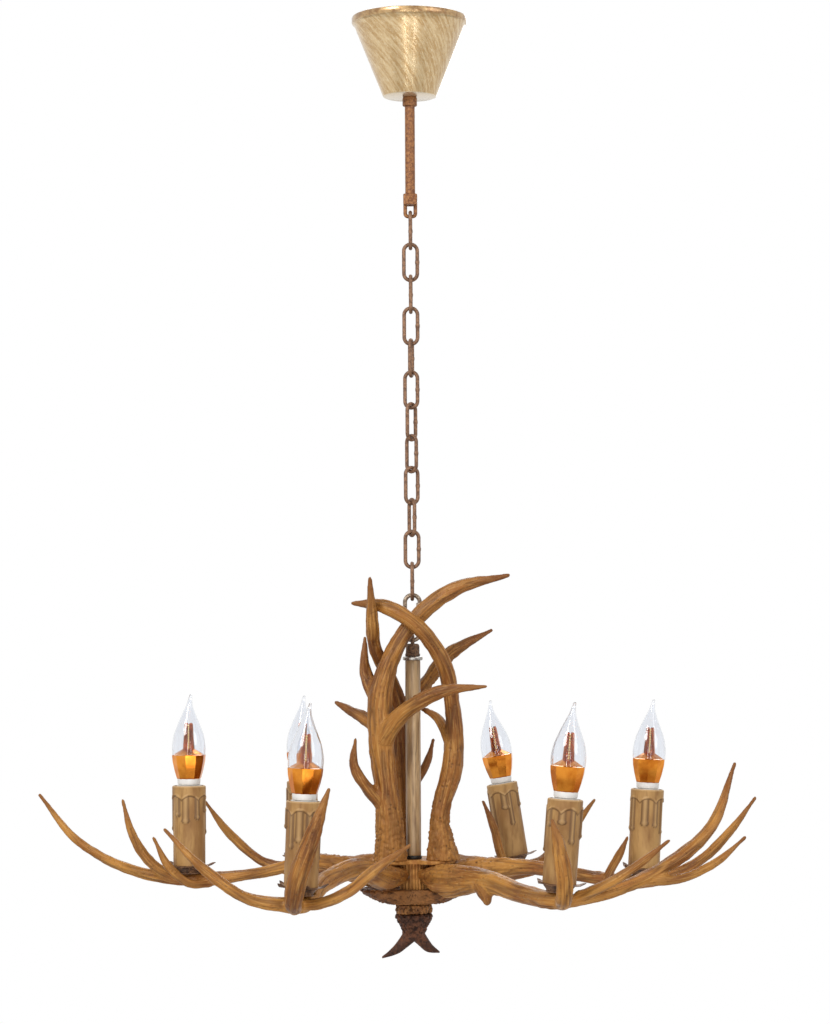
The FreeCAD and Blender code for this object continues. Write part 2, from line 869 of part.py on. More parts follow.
stem_foot = hub_top + washer_height
stem_blank = cylinder("stem_blank", stem_radius, stem_length, (0, 0, stem_foot))
stem_hole = cylinder("stem_hole", stem_radius - size("stem_wall"), stem_length + 2, (0, 0, stem_foot - 1))
node("stem_tube", cut("stem_tube_cut", stem_blank, stem_hole))

# hub -----------------------------------------------------------------------------------------

disc_radius = size("disc_radius")
disc_height = size("disc_height")
column_radius = size("column_radius")
column_bore = size("column_bore")
column_height = size("column_height")
rod_hole = tie_radius + size("rod_clearance")
disc_foot = hub_top - disc_height
column_foot = disc_foot - column_height
bowl_radius = size("bowl_radius")
bowl_foot = column_foot - size("bowl_height")
burr_foot = bowl_foot - size("burr_height")

ribbed_column = solid(
    "ribbed_column",
    turned(
        ((column_radius, column_foot, True), (column_radius, disc_foot, True)),
        COLUMN_RIBS * 2,
        groove=size("column_rib_depth"),
    ),
)
hub_disc = cylinder("hub_disc", disc_radius, disc_height, (0, 0, disc_foot))
hub_blank = joined("hub_blank", hub_disc, ribbed_column)
column_hollow = cylinder("column_hollow", column_bore, column_height, (0, 0, column_foot))
hub_rod_hole = cylinder("hub_rod_hole", rod_hole, disc_height + 2, (0, 0, disc_foot - 1))

lag_radius = size("lag_radius")
lag_length = size("lag_length")
head_radius = size("lag_head_radius")
head_height = size("lag_head_height")
lag_level = disc_foot - column_height / 2
lag_shape = turned(
    (
        (head_radius, -head_height),
        (head_radius, 0),
        (lag_radius, 0),
        (lag_radius, lag_length - 4),
        (lag_radius / 4, lag_length),
    ),
    SCREW_SIDES,
)


def side_screw_frame(antler):
    """A screw from inside the column into a lower antler's root, its head on the column's bore."""
    angle = math.radians(antler["azimuth"])
    axis = V(math.cos(angle), math.sin(angle), 0)
    return frame_at(axis * float(column_bore) + V(0, 0, float(lag_level)), axis)


def top_screw_frame(antler):
    """A screw up through the disc into an upper antler's foot, its head sunk in the disc."""
    x, y = antler["foot"]
    return frame_at((x, y, disc_foot + head_height))


screws = [
    solid(f"side_screw_{name}", lag_shape.copy(), side_screw_frame(antler))
    for name, antler in LOWER_ANTLERS.items()
]
screws += [
    solid(f"top_screw_{name}", lag_shape.copy(), top_screw_frame(antler))
    for name, antler in UPPER_ANTLERS.items()
]
node("hub_core", cut("hub_core_cut", hub_blank, column_hollow, hub_rod_hole, *screws))
node("antler_screws", grouped("antler_screw_set", screws))

bowl_height = size("bowl_height")
bowl_shape = turned(
    (
        (rod_hole, column_foot),
        (bowl_radius, column_foot),
        (bowl_radius + 1, column_foot - bowl_height * 0.15),
        (bowl_radius - 7, column_foot - bowl_height * 0.55),
        (bowl_radius / 2 + 6, bowl_foot + bowl_height * 0.12),
        (size("bowl_foot_radius"), bowl_foot),
        (rod_hole, bowl_foot),
    ),
    HUB_SIDES,
    closed=True,
)
node("hub_bowl", solid("hub_bowl_carving", bowl_shape))

nut_room = size("hub_nut_flats") / math.sqrt(3) + 1
nut_ceiling = burr_foot + size("hub_nut_height") + 0.5
burr_radius = size("burr_radius")
burr_shape = turned(
    (
        (rod_hole, bowl_foot),
        (burr_radius - 2.5, bowl_foot, True),
        (burr_radius, bowl_foot - size("burr_height") * 0.4, True),
        (burr_radius - 1.5, burr_foot, True),
        (nut_room, burr_foot),
        (nut_room, nut_ceiling),
        (rod_hole, nut_ceiling),
    ),
    HUB_SIDES,
    closed=True,
    groove=size("burr_groove"),
)
node("burr_ring", solid("burr_ring_carving", burr_shape))
hub_nut_height = size("hub_nut_height")
hub_nut_blank = hexagon("hub_nut_blank", size("hub_nut_flats"), hub_nut_height, (0, 0, nut_ceiling - hub_nut_height))
hub_nut_hole = cylinder("hub_nut_hole", tie_radius, hub_nut_height + 2, (0, 0, nut_ceiling - hub_nut_height - 1))
node("hub_nut", cut("hub_nut_cut", hub_nut_blank, hub_nut_hole))

finial_radius = size("finial_radius")
finial_height = size("finial_height")
neck_radius = size("finial_neck_radius")
finial_shape = turned(
    (
        (finial_radius - 1.5, burr_foot),
        (finial_radius, burr_foot - finial_height * 0.18),
        (finial_radius - 4, burr_foot - finial_height * 0.55),
        (neck_radius, burr_foot - finial_height),
        (neck_radius - 6, burr_foot - finial_height - 3),
    ),
    HUB_SIDES,
)
finial_turning = solid("finial_turning", finial_shape)
spikes = [
    solid(f"spike_{k}", branch(points, TINE_SIDES, TINE_STEP), frame_at((0, 0, burr_foot)))
    for k, points in enumerate(FINIAL_SPIKES)
]
finial_thread = cylinder("finial_thread", tie_radius, finial_height * 0.6, (0, 0, burr_foot - finial_height * 0.6))
finial_blank = joined("finial_blank", finial_turning, *spikes)
node("finial", cut("finial_cut", finial_blank, finial_thread))

tie_top = cap_foot + tie_grip
tie_foot = burr_foot - finial_height * 0.6
tie_blank = cylinder("tie_blank", tie_radius, tie_top - tie_foot, (0, 0, tie_foot))
tie_hole = cylinder("tie_hole", tie_bore, tie_top - tie_foot + 2, (0, 0, tie_foot - 1))
node("tie_rod", cut("tie_rod_cut", tie_blank, tie_hole))

# antlers and their lights --------------------------------------------------------------------

hub_frame = frame_at((0, 0, hub_top))
cup_height = size("cup_height")
tray_thickness = size("tray_thickness")
sleeve_radius = size("sleeve_radius")
sleeve_height = size("sleeve_height")
nipple_radius = size("nipple_radius")
nipple_sink = size("nipple_sink")
tray_top = cup_height + tray_thickness
light_top = tray_top + sleeve_height
holder_foot = light_top - size("holder_height")
nipple_top = holder_foot + size("nipple_thread")

# The room that the hub keeps clear of every lower antler's root.
hub_room = Part.makeCylinder(column_radius, 60, V(0, 0, -60))
hub_room = hub_room.fuse(Part.makeCylinder(disc_radius, 80, V(0, 0, -float(disc_height))))
bowl_depth = float(disc_height + column_height)
hub_room = hub_room.fuse(Part.makeCylinder(bowl_radius + 1, 60, V(0, 0, -bowl_depth - 60)))


def in_hub(frame):
    return hub_frame.inverse().multiply(frame).toMatrix()


def carved(data):
    """Beam and tines in one solid."""
    beam = branch(data["beam"], BEAM_SIDES, BEAM_STEP)
    tines = [branch(points, TINE_SIDES, TINE_STEP) for points in data["tines"]]
    return beam.multiFuse(tines)


def light_frame(data):
    """Stands on the antler's seat, leaning to the side."""
    return FreeCAD.Placement(V(*data["flat"]), FreeCAD.Rotation(V(0, 1, 0), data["lean"]))


def leaf_ring(level):
    """The drip tray's edge, with leaf tips that curl up."""
    points = ring(V(0, 0, level), size("tray_valley_radius"), TRAY_TIPS * 2)
    raised = V(0, 0, level + size("tray_tip_rise"))
    points[::2] = ring(raised, size("tray_tip_radius"), TRAY_TIPS * 2)[::2]
    return points


nipple_rod = turned(((nipple_radius, -nipple_sink), (nipple_radius, nipple_top)))
nipple_bore = turned(((size("nipple_bore"), -nipple_sink - 1), (size("nipple_bore"), nipple_top + 1)))
nipple_shape = nipple_rod.cut(nipple_bore)
cup_radius = size("cup_radius")
cup_shape = turned(
    ((size("cup_foot_radius"), 0), (cup_radius, cup_height - 2), (cup_radius, cup_height))
).cut(nipple_rod)
tray_flat = size("tray_flat_radius")
tray_shape = skin(
    [
        ring(V(0, 0, cup_height), tray_flat, TRAY_TIPS * 2),
        leaf_ring(cup_height),
        leaf_ring(tray_top),
        ring(V(0, 0, tray_top), tray_flat, TRAY_TIPS * 2),
    ]
).cut(nipple_rod)
socket_radius = size("bulb_cap_radius") + size("socket_gap")
holder_shape = turned(
    (
        (nipple_radius, holder_foot),
        (size("holder_radius"), holder_foot),
        (size("holder_radius"), light_top),
        (socket_radius, light_top),
        (socket_radius, light_top - size("socket_depth")),
        (nipple_radius, light_top - size("socket_depth")),
    ),
    closed=True,
)
sleeve_bore = sleeve_radius - size("sleeve_wall")
sleeve_shape = turned(
    (
        (sleeve_bore, tray_top),
        (sleeve_radius, tray_top),
        (sleeve_radius, light_top),
        (sleeve_bore, light_top),
    ),
    SLEEVE_SIDES,
    closed=True,
)
ring_foot = light_top + size("bulb_seat_gap")
ring_top = ring_foot + size("bulb_ring_height")
ring_radius = size("bulb_ring_radius")
glass_foot = ring_top + size("bulb_cup_height")
bulb_radius = size("bulb_radius")
mast_radius = size("mast_radius")
base_shape = turned(
    (
        (size("bulb_cap_radius"), ring_foot - size("bulb_cap_length")),
        (size("bulb_cap_radius"), ring_foot),
        (ring_radius, ring_foot),
        (ring_radius, ring_top),
        (bulb_radius - 0.4, ring_top + size("bulb_cup_height") * 0.72),
        (bulb_radius + 0.2, glass_foot),
        (mast_radius, glass_foot),
        (mast_radius - 2.5, glass_foot + size("mast_height")),
    )
)


def flame(inset, shares):
    """The glass's outer form, or its inner one when it is inset by the wall."""
    rings = []
    for share, reach in shares:
        bend = size("flame_bend") * max(0.0, (share - 0.55) / 0.45) ** 2
        centre = V(bend, 0, glass_foot + size("bulb_glass_height") * share)
        rings.append(ring(centre, bulb_radius * reach - inset, ROUND_SIDES))
    return skin(rings)


glass_shape = flame(0, FLAME).cut(flame(size("bulb_glass_wall"), ((-0.01, 0.985),) + FLAME[1:-2]))

# Above its flat the beam is cut back for the cup, and its tines for the tray's leaves.
seat_room = Part.makeCylinder(cup_radius + 3, cup_height * 2)
tray_room = Part.makeCylinder(size("tray_tip_radius") + 0.5, 7, V(0, 0, cup_height - 0.7))
seat_room = seat_room.multiFuse([tray_room, nipple_rod])
lights = {
    "tray_cups": cup_shape,
    "drip_trays": tray_shape,
    "candle_nipples": nipple_shape,
    "lamp_holders": holder_shape,
    "candle_sleeves": sleeve_shape,
}
seats = {}
for number, (name, data) in enumerate(LOWER_ANTLERS.items(), start=1):
    seat = light_frame(data)
    seats[name] = hub_frame.multiply(seat)
    screw_room = lag_shape.transformed(in_hub(side_screw_frame(data)))
    trimmed = carved(data).cut([hub_room, seat_room.transformed(seat.toMatrix()), screw_room])
    node(f"lower_antler_{name}", solid(f"lower_antler_{name}_carving", trimmed, hub_frame))
    base = solid(f"bulb_base_{number}_turning", base_shape.copy(), seats[name])
    glass = solid(f"bulb_glass_{number}_blown", glass_shape.copy(), seats[name])
    node(f"bulb_base_{number}", base)
    node(f"bulb_glass_{number}", glass)
for group, shape in lights.items():
    pieces = [solid(f"{group}_{name}", shape.copy(), seat) for name, seat in seats.items()]
    node(group, grouped(f"{group}_set", pieces))

below_hub = Part.makeBox(300, 300, 60, V(-150, -150, -60))
for name, data in UPPER_ANTLERS.items():
    screw_room = lag_shape.transformed(in_hub(top_screw_frame(data)))
    trimmed = carved(data).cut([below_hub, screw_room])
    node(f"upper_antler_{name}", solid(f"upper_antler_{name}_carving", trimmed, hub_frame))

# checks and files ----------------------------------------------------------------------------

doc.recompute()
for piece in doc.Objects:
    if "Invalid" in piece.State or "Error" in piece.State:
        raise RuntimeError(f"{piece.Label} failed: {piece.State}")
os.makedirs("parts", exist_ok=True)
for piece in nodes:
    shape = piece.Shape
    if shape.isNull() or not shape.isValid() or not shape.Solids:
        raise RuntimeError(f"{piece.Label} has no valid solid")
    shape.exportStep(f"parts/{piece.Label}.step")
print(len(nodes), "sub-parts written")
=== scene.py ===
# %% [markdown]
# # Antler chandelier
# A canopy and rod, a rusty chain with a screw link, and a hub that carries nine carved antlers and
# six candle lights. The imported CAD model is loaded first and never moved. Every piece made here
# takes the place of one of its nodes, so it is placed by the CAD's own sizes.

# %% Load the frame
import itertools
import math

import bpy
import numpy as np
from mathutils import Matrix, Vector, kdtree


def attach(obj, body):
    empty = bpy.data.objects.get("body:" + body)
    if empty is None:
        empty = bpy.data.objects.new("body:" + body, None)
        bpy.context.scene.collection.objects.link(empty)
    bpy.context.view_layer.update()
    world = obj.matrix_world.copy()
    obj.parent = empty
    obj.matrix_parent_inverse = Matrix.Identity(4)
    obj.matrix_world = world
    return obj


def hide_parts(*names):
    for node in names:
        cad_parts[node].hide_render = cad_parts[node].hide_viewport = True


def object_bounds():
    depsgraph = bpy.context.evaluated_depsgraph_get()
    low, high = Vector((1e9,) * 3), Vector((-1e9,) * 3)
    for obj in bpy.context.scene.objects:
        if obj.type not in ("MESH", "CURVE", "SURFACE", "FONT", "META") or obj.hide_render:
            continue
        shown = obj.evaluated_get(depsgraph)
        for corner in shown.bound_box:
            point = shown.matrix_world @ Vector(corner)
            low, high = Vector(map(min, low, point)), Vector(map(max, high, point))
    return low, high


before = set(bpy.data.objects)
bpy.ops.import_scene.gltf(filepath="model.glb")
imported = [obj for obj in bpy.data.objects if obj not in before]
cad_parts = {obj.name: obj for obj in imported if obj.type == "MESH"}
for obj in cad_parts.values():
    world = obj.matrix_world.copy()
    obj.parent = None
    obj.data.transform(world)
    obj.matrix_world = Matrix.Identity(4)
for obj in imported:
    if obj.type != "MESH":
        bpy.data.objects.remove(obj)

cad_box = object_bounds()
print("CAD box", [round(c, 4) for corner in cad_box for c in corner])

# %% [markdown]
# ## Camera
# The photograph looks at the chandelier from in front, a little below the middle of its height. A
# long lens from nearly three metres gives that perspective, a small shift puts the chandelier where
# the photograph has it, and a slight roll follows the photograph's own lean.

# %% Camera
LENS = 97.34
EYE = (0.03, -2.9, -0.6354)
SHIFT = (-0.0255, 0.1098)
ROLL = 0.3


def shown(name, data):
    """A new object in the scene."""
    made = bpy.data.objects.new(name, data)
    bpy.context.scene.collection.objects.link(made)
    return made


photo_view = bpy.data.cameras.new("photo_view")
photo_view.lens = LENS
photo_view.shift_x, photo_view.shift_y = SHIFT
camera = shown("photo_view", photo_view)
camera.location = EYE
camera.rotation_euler = (math.radians(90), math.radians(ROLL), 0)
bpy.context.scene.camera = camera
bpy.context.scene.view_settings.view_transform = "Standard"
print(f"camera: {LENS} mm lens at {EYE}")

# %% [markdown]
# ## Node networks
# Materials and Geometry Nodes are both networks of nodes. `Wire` holds an output, and sums on it
# add their Math nodes, so that a formula can be written as one. Vectors and colours get Vector
# Math. `Network.add` makes any other node.

# %% Wires and networks
class Wire:
    """An output of a node, with arithmetic."""

    def __init__(self, network, socket):
        self.network, self.socket = network, socket

    def maths(self, operation, first, second):
        wires = [w for w in (first, second) if isinstance(w, Wire)]
        plain = all(w.socket.type in ("VALUE", "INT") for w in wires)
        kind = "ShaderNodeMath" if plain else "ShaderNodeVectorMath"
        return self.network.add(kind, {"operation": operation}, {0: first, 1: second})

    def beside(self, output):
        """Another output of the same node."""
        return Wire(self.network, self.socket.node.outputs[output])

    def __add__(self, other):
        return self.maths("ADD", self, other)

    def __radd__(self, other):
        return self.maths("ADD", other, self)

    def __sub__(self, other):
        return self.maths("SUBTRACT", self, other)

    def __rsub__(self, other):
        return self.maths("SUBTRACT", other, self)

    def __mul__(self, other):
        return self.maths("MULTIPLY", self, other)

    def __rmul__(self, other):
        return self.maths("MULTIPLY", other, self)


class Network:
    """A node tree, and the one method that adds a node to it."""

    def __init__(self, tree):
        self.tree = tree

    def add(self, kind, settings=None, inputs=None, output=0):
        """Makes a node: its settings first, then the values or links of its inputs."""
        made = self.tree.nodes.new(kind)
        for key, value in (settings or {}).items():
            setattr(made, key, value)
        for key, value in (inputs or {}).items():
            self.feed(made.inputs[key], value)
        return Wire(self, made.outputs[output]) if made.outputs else None

    def feed(self, socket, value):
        if isinstance(value, Wire):
            self.tree.links.new(value.socket, socket)
        elif isinstance(value, tuple):
            socket.default_value = value[: len(socket.default_value)]
        else:
            socket.default_value = value


# %% [markdown]
# A finish is a material for one kind of surface. Its colours are written as a screen shows them,
# and laid over each other like coats of paint, each by a mask of noise or of a mark that the mesh
# carries. It also knows which of the CAD's material slots it stands for.

# %% Finishes
def paint(red, green, blue):
    """A screen colour, 0 to 255, in the renderer's own light values."""
    shares = [c / 255 for c in (red, green, blue)]
    return tuple(c / 12.92 if c < 0.04045 else ((c + 0.055) / 1.055) ** 2.4 for c in shares) + (1.0,)


class Finish(Network):
    """A material with one Principled shader."""

    def __init__(self, name, slot=None, **constants):
        self.material = bpy.data.materials.new(name)
        self.material.use_nodes = True
        super().__init__(self.material.node_tree)
        self.shader = self.tree.nodes["Principled BSDF"]
        self.slot = slot
        self.wear(**constants)

    def place(self):
        return self.add("ShaderNodeTexCoord", output="Object")

    def mark(self, name, output="Fac"):
        return self.add("ShaderNodeAttribute", {"attribute_name": name}, output=output)

    def noise(self, place, scale, detail=3.0, roughness=0.55):
        values = {"Vector": place, "Scale": scale, "Detail": detail, "Roughness": roughness}
        return self.add("ShaderNodeTexNoise", {}, values)

    def cells(self, place, scale):
        return self.add("ShaderNodeTexVoronoi", {}, {"Vector": place, "Scale": scale})

    def ramp(self, value, low, high):
        """0 at low, 1 at high, and smooth between them."""
        values = {"Value": value, "From Min": low, "From Max": high}
        return self.add("ShaderNodeMapRange", {"interpolation_type": "SMOOTHSTEP"}, values)

    def mix(self, share, first, second):
        """The first colour where share is 0, the second where it is 1."""
        tones = [paint(*c) if isinstance(c, tuple) and len(c) == 3 else c for c in (first, second)]
        return self.add("ShaderNodeMix", {"data_type": "RGBA"}, {0: share, 6: tones[0], 7: tones[1]}, output=2)

    def coats(self, colour, *layers):
        """Lays tones over a colour, each by its share."""
        for share, tone in layers:
            colour = self.mix(share, colour, tone)
        return colour

    def bump(self, height, distance, strength):
        values = {"Height": height, "Distance": distance, "Strength": strength}
        return self.add("ShaderNodeBump", {}, values)

    def wear(self, **parts):
        """Feeds the shader's sockets. Base_Color is the one named Base Color."""
        for key, value in parts.items():
            self.feed(self.shader.inputs[key.replace("_", " ")], value)
        return self


# %% [markdown]
# ## Light
# A plain studio: the surround is white to the camera and to whatever metal and glass mirror, and an
# even glow to the rest. Three large soft lamps light the object, and two tall narrow ones in front
# give round metal and glass their upright highlights. The floor is far below, as under a real
# ceiling light.

# %% World, lamps and floor
SURROUND = 0.42
WHITE = (1.0, 1.0, 1.0, 1.0)
FLOOR_LEVEL, FLOOR_REACH = -2.3, 3

world = bpy.data.worlds.new("studio")
world.use_nodes = True
bpy.context.scene.world = world
world.node_tree.nodes.clear()
studio = Network(world.node_tree)
seen = studio.add("ShaderNodeLightPath", output="Is Camera Ray")
seen = seen + seen.beside("Is Glossy Ray") + seen.beside("Is Transmission Ray")
white_share = studio.add("ShaderNodeClamp", {}, {"Value": seen})
glow = studio.add("ShaderNodeBackground", {}, {"Color": WHITE, "Strength": SURROUND})
backdrop = studio.add("ShaderNodeBackground", {}, {"Color": WHITE, "Strength": 1.0})
both = studio.add("ShaderNodeMixShader", {}, {0: white_share, 1: glow, 2: backdrop})
studio.add("ShaderNodeOutputWorld", {}, {"Surface": both})


def lamp(name, place, target, size, power):
    """A soft oval lamp, with its width and height in metres, aimed at a target."""
    data = bpy.data.lights.new(name, "AREA")
    data.shape = "ELLIPSE"
    data.size, data.size_y = size
    data.energy = power
    made = shown(name, data)
    made.location = place
    made.rotation_euler = (Vector(target) - Vector(place)).to_track_quat("-Z", "Y").to_euler()
    print(f"lamp {name}: {power} W")


MIDDLE, LOW_MIDDLE = (0.0, 0.0, -0.6), (0.0, 0.0, -1.0)
lamp("key", (-1.5, -2.2, 1.1), MIDDLE, (1.3, 1.3), 50.0)
lamp("fill", (1.9, -1.7, 0.3), MIDDLE, (1.5, 1.5), 16.0)
lamp("back", (0.4, 2.4, 0.8), MIDDLE, (1.6, 1.6), 18.0)
lamp("left_strip", (-0.42, -2.7, -1.0), LOW_MIDDLE, (0.16, 2.4), 8.0)
lamp("right_strip", (0.62, -2.6, -1.0), LOW_MIDDLE, (0.12, 2.4), 5.0)

floor_finish = Finish("floor_paint", Roughness=0.9)
smudges = floor_finish.noise(floor_finish.place(), 3.0) * 0.25
floor_finish.wear(Base_Color=floor_finish.mix(smudges, (238, 238, 238), (226, 226, 226)))
corners = [(x * FLOOR_REACH, y * FLOOR_REACH, FLOOR_LEVEL) for x, y in ((-1, -1), (1, -1), (1, 1), (-1, 1))]
floor_mesh = bpy.data.meshes.new("floor")
floor_mesh.from_pydata(corners, [], [(0, 1, 2, 3)])
floor_mesh.materials.append(floor_finish.material)
shown("floor", floor_mesh)

# %% [markdown]
# ## Making forms
# Sizes below are the CAD's millimetres, and `build` writes metres. A form is rings of points with
# faces between them: a turned piece has its rings round the z axis, and a tube has them along a
# path. Each is closed, with a pole where a ring would shrink to nothing.

# %% Rings and turned forms
MM = 0.001


class Form:
    """Points, faces and marks of a piece that is being made."""

    def __init__(self):
        self.points, self.faces, self.marks = [], [], {}
        self.count = 0

    def add(self, points, faces, move=None, **marks):
        points = np.asarray(points, float)
        if move is not None:
            points = points @ np.array(move.to_3x3()).T + np.array(move.translation)
        self.points.append(points)
        self.faces += [tuple(int(i) + self.count for i in face) for face in faces]
        for name, values in marks.items():
            self.marks.setdefault(name, []).append(np.asarray(values, float))
        self.count += len(points)
        return self


def surface(rings, start=None, end=None, loop=False):
    """Quads between neighbouring rings, and a fan to a pole at either end."""
    rings = np.asarray(rings, float)
    number, sides = rings.shape[:2]
    i, j = np.meshgrid(np.arange(number if loop else number - 1), np.arange(sides), indexing="ij")
    near, far, beside = i * sides, ((i + 1) % number) * sides, (j + 1) % sides
    faces = np.stack([near + j, near + beside, far + beside, far + j], -1).reshape(-1, 4).tolist()
    points = rings.reshape(-1, 3)
    if start is not None:
        pole = len(points)
        points = np.vstack([points, start])
        faces += [(pole, (k + 1) % sides, k) for k in range(sides)]
    if end is not None:
        pole, last = len(points), (number - 1) * sides
        points = np.vstack([points, end])
        faces += [(pole, last + k, last + (k + 1) % sides) for k in range(sides)]
    return points, faces


def around(sides):
    """The angles of a ring's points."""
    return np.arange(sides) * math.tau / sides


def circle(radius, height, sides, turn=0.0):
    """A ring round z. Its radius and height may differ from side to side."""
    angles = around(sides) + turn
    return np.stack([radius * np.cos(angles), radius * np.sin(angles), np.full(sides, height, float)], -1)


def off_axis(points):
    """How far from the z axis each point is."""
    return np.hypot(points[:, 0], points[:, 1])


def turned(profile, sides, base=0.0):
    """A profile of (radius, height over base), turned round z and given up its outside. It ends in
    poles on the axis or else closes on itself."""
    poles = [(0, 0, base + z) for r, z in (profile[0], profile[-1]) if r == 0]
    return surface([circle(r, base + z, sides) for r, z in profile if r > 0], *poles, loop=not poles)


# %% Paths and tubes
def lengths(path):
    """How far along a path each of its points lies."""
    return np.concatenate([[0], np.cumsum(np.linalg.norm(np.diff(path[:, :3], axis=0), axis=1))])


def smooth_path(points, step):
    """A curve through points of any number of values, with a sample about every step."""
    points = np.asarray(points, float)
    places = lengths(points)
    slopes = np.gradient(points, places, axis=0)
    rows = []
    for k in range(len(points) - 1):
        span = places[k + 1] - places[k]
        share = np.arange(0, 1, 1 / max(1, round(span / step)))[:, None]
        square, cube = share**2, share**3
        rows.append(
            (2 * cube - 3 * square + 1) * points[k]
            + (cube - 2 * square + share) * span * slopes[k]
            + (3 * square - 2 * cube) * points[k + 1]
            + (cube - square) * span * slopes[k + 1]
        )
    return np.vstack(rows + [points[-1:]])


def path_frames(path):
    """The direction of a path at each point, and two directions across it that never twist."""
    along = np.gradient(path, axis=0)
    along /= np.linalg.norm(along, axis=1)[:, None]
    across = np.zeros_like(along)
    guide = np.array((0.31, 0.2, 0.93))
    for k, direction in enumerate(along):
        guide = guide - direction * (guide @ direction)
        guide /= np.linalg.norm(guide)
        across[k] = guide
    return along, across, np.cross(along, across)


def tube(path, radii, sides):
    """A tube along a path, with round ends."""
    path, radii = np.asarray(path, float), np.broadcast_to(radii, len(path)).astype(float)
    along, across, over = path_frames(path)
    angles = around(sides)
    rim = np.cos(angles)[:, None] * across[:, None] + np.sin(angles)[:, None] * over[:, None]
    rings = path[:, None] + rim * radii[:, None, None]
    caps = [math.radians(a) for a in (25, 50, 72)]
    first = [path[0] + (rim[0] * math.cos(a) - along[0] * math.sin(a)) * radii[0] for a in caps[::-1]]
    last = [path[-1] + (rim[-1] * math.cos(a) + along[-1] * math.sin(a)) * radii[-1] for a in caps]
    every = np.concatenate([first, rings, last])
    return surface(every, path[0] - along[0] * radii[0], path[-1] + along[-1] * radii[-1])


# %% From a form to a fitted piece
def fit(made, node, body):
    """Puts a finished piece on its body, in the place of its CAD node."""
    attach(made, body)
    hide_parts(node)
    print(f"{made.name}: {len(made.data.polygons)} faces on {body}")


def build(name, form, finish, crease, node, body="fixture"):
    """Makes a piece at the origin, in metres. Edges sharper than crease stay sharp."""
    mesh = bpy.data.meshes.new(name)
    mesh.from_pydata((np.vstack(form.points) * MM).tolist(), [], form.faces)
    mesh.shade_smooth()
    if crease:
        mesh.set_sharp_from_angle(angle=math.radians(crease))
    for mark, values in form.marks.items():
        values = np.concatenate(values)
        kind, key = ("FLOAT", "value") if values.ndim == 1 else ("FLOAT_VECTOR", "vector")
        mesh.attributes.new(mark, kind, "POINT").data.foreach_set(key, values.ravel())
    mesh.materials.append(finish.material)
    fit(shown(name, mesh), node, body)


def lathe(name, profile, sides, finish, node, body="fixture", base=0.0):
    """A plain turned piece."""
    build(name, Form().add(*turned(profile, sides, base)), finish, 30, node, body)


# %% [markdown]
# ## Noise for carving
# Bark, pearls and grooves are real relief, so they are cut in the mesh. Two kinds of noise are
# enough: a smooth one on a lattice, and one that gives the distance to scattered seeds, whose
# rounded cells are the pearls at an antler's root.

# %% Noise
def scramble(cells, seed):
    """A steady number from 0 to 1 for each cell of a lattice."""
    x, y, z = cells[..., 0], cells[..., 1], cells[..., 2]
    mixed = (x * 73856093) ^ (y * 19349663) ^ (z * 83492791) ^ (seed * 265443)
    mixed = (mixed ^ (mixed >> 13)) * 1274126177
    return ((mixed ^ (mixed >> 16)) & 0xFFFF) / 65535.0


def swell(points, size, seed):
    """Smooth noise from -1 to 1, whose waves are about size long. size may be three numbers."""
    places = np.asarray(points) / np.asarray(size, float)
    base = np.floor(places).astype(np.int64)
    share = ease(places - base, 0, 1)
    total = np.zeros(len(places))
    for corner in itertools.product((0, 1), repeat=3):
        total += np.prod(np.where(corner, share, 1 - share), axis=1) * scramble(base + np.array(corner), seed)
    return total * 2 - 1


def pearls(points, size, seed):
    """1 at the middle of each scattered bead and 0 between them."""
    places = np.asarray(points) / size
    base = np.floor(places).astype(np.int64)
    nearest = np.full(len(places), 9.0)
    for corner in itertools.product((-1, 0, 1), repeat=3):
        cell = base + np.array(corner)
        seeds = np.stack([scramble(cell, seed + k) for k in (1, 2, 3)], -1)
        nearest = np.minimum(nearest, ((cell + seeds - places) ** 2).sum(1))
    return np.clip(1 - nearest * 2.2, 0, 1) ** 0.6


def ease(value, low, high):
    """0 below low, 1 above high, and smooth between them."""
    share = np.clip((value - low) / (high - low), 0, 1)
    return share * share * (3 - 2 * share)


def creases(points, size, seed, narrow):
    """1 along thin wandering lines, where the smooth noise crosses nothing, and 0 away from them."""
    return np.clip(1 - np.abs(swell(points, size, seed)) * narrow, 0, 1)
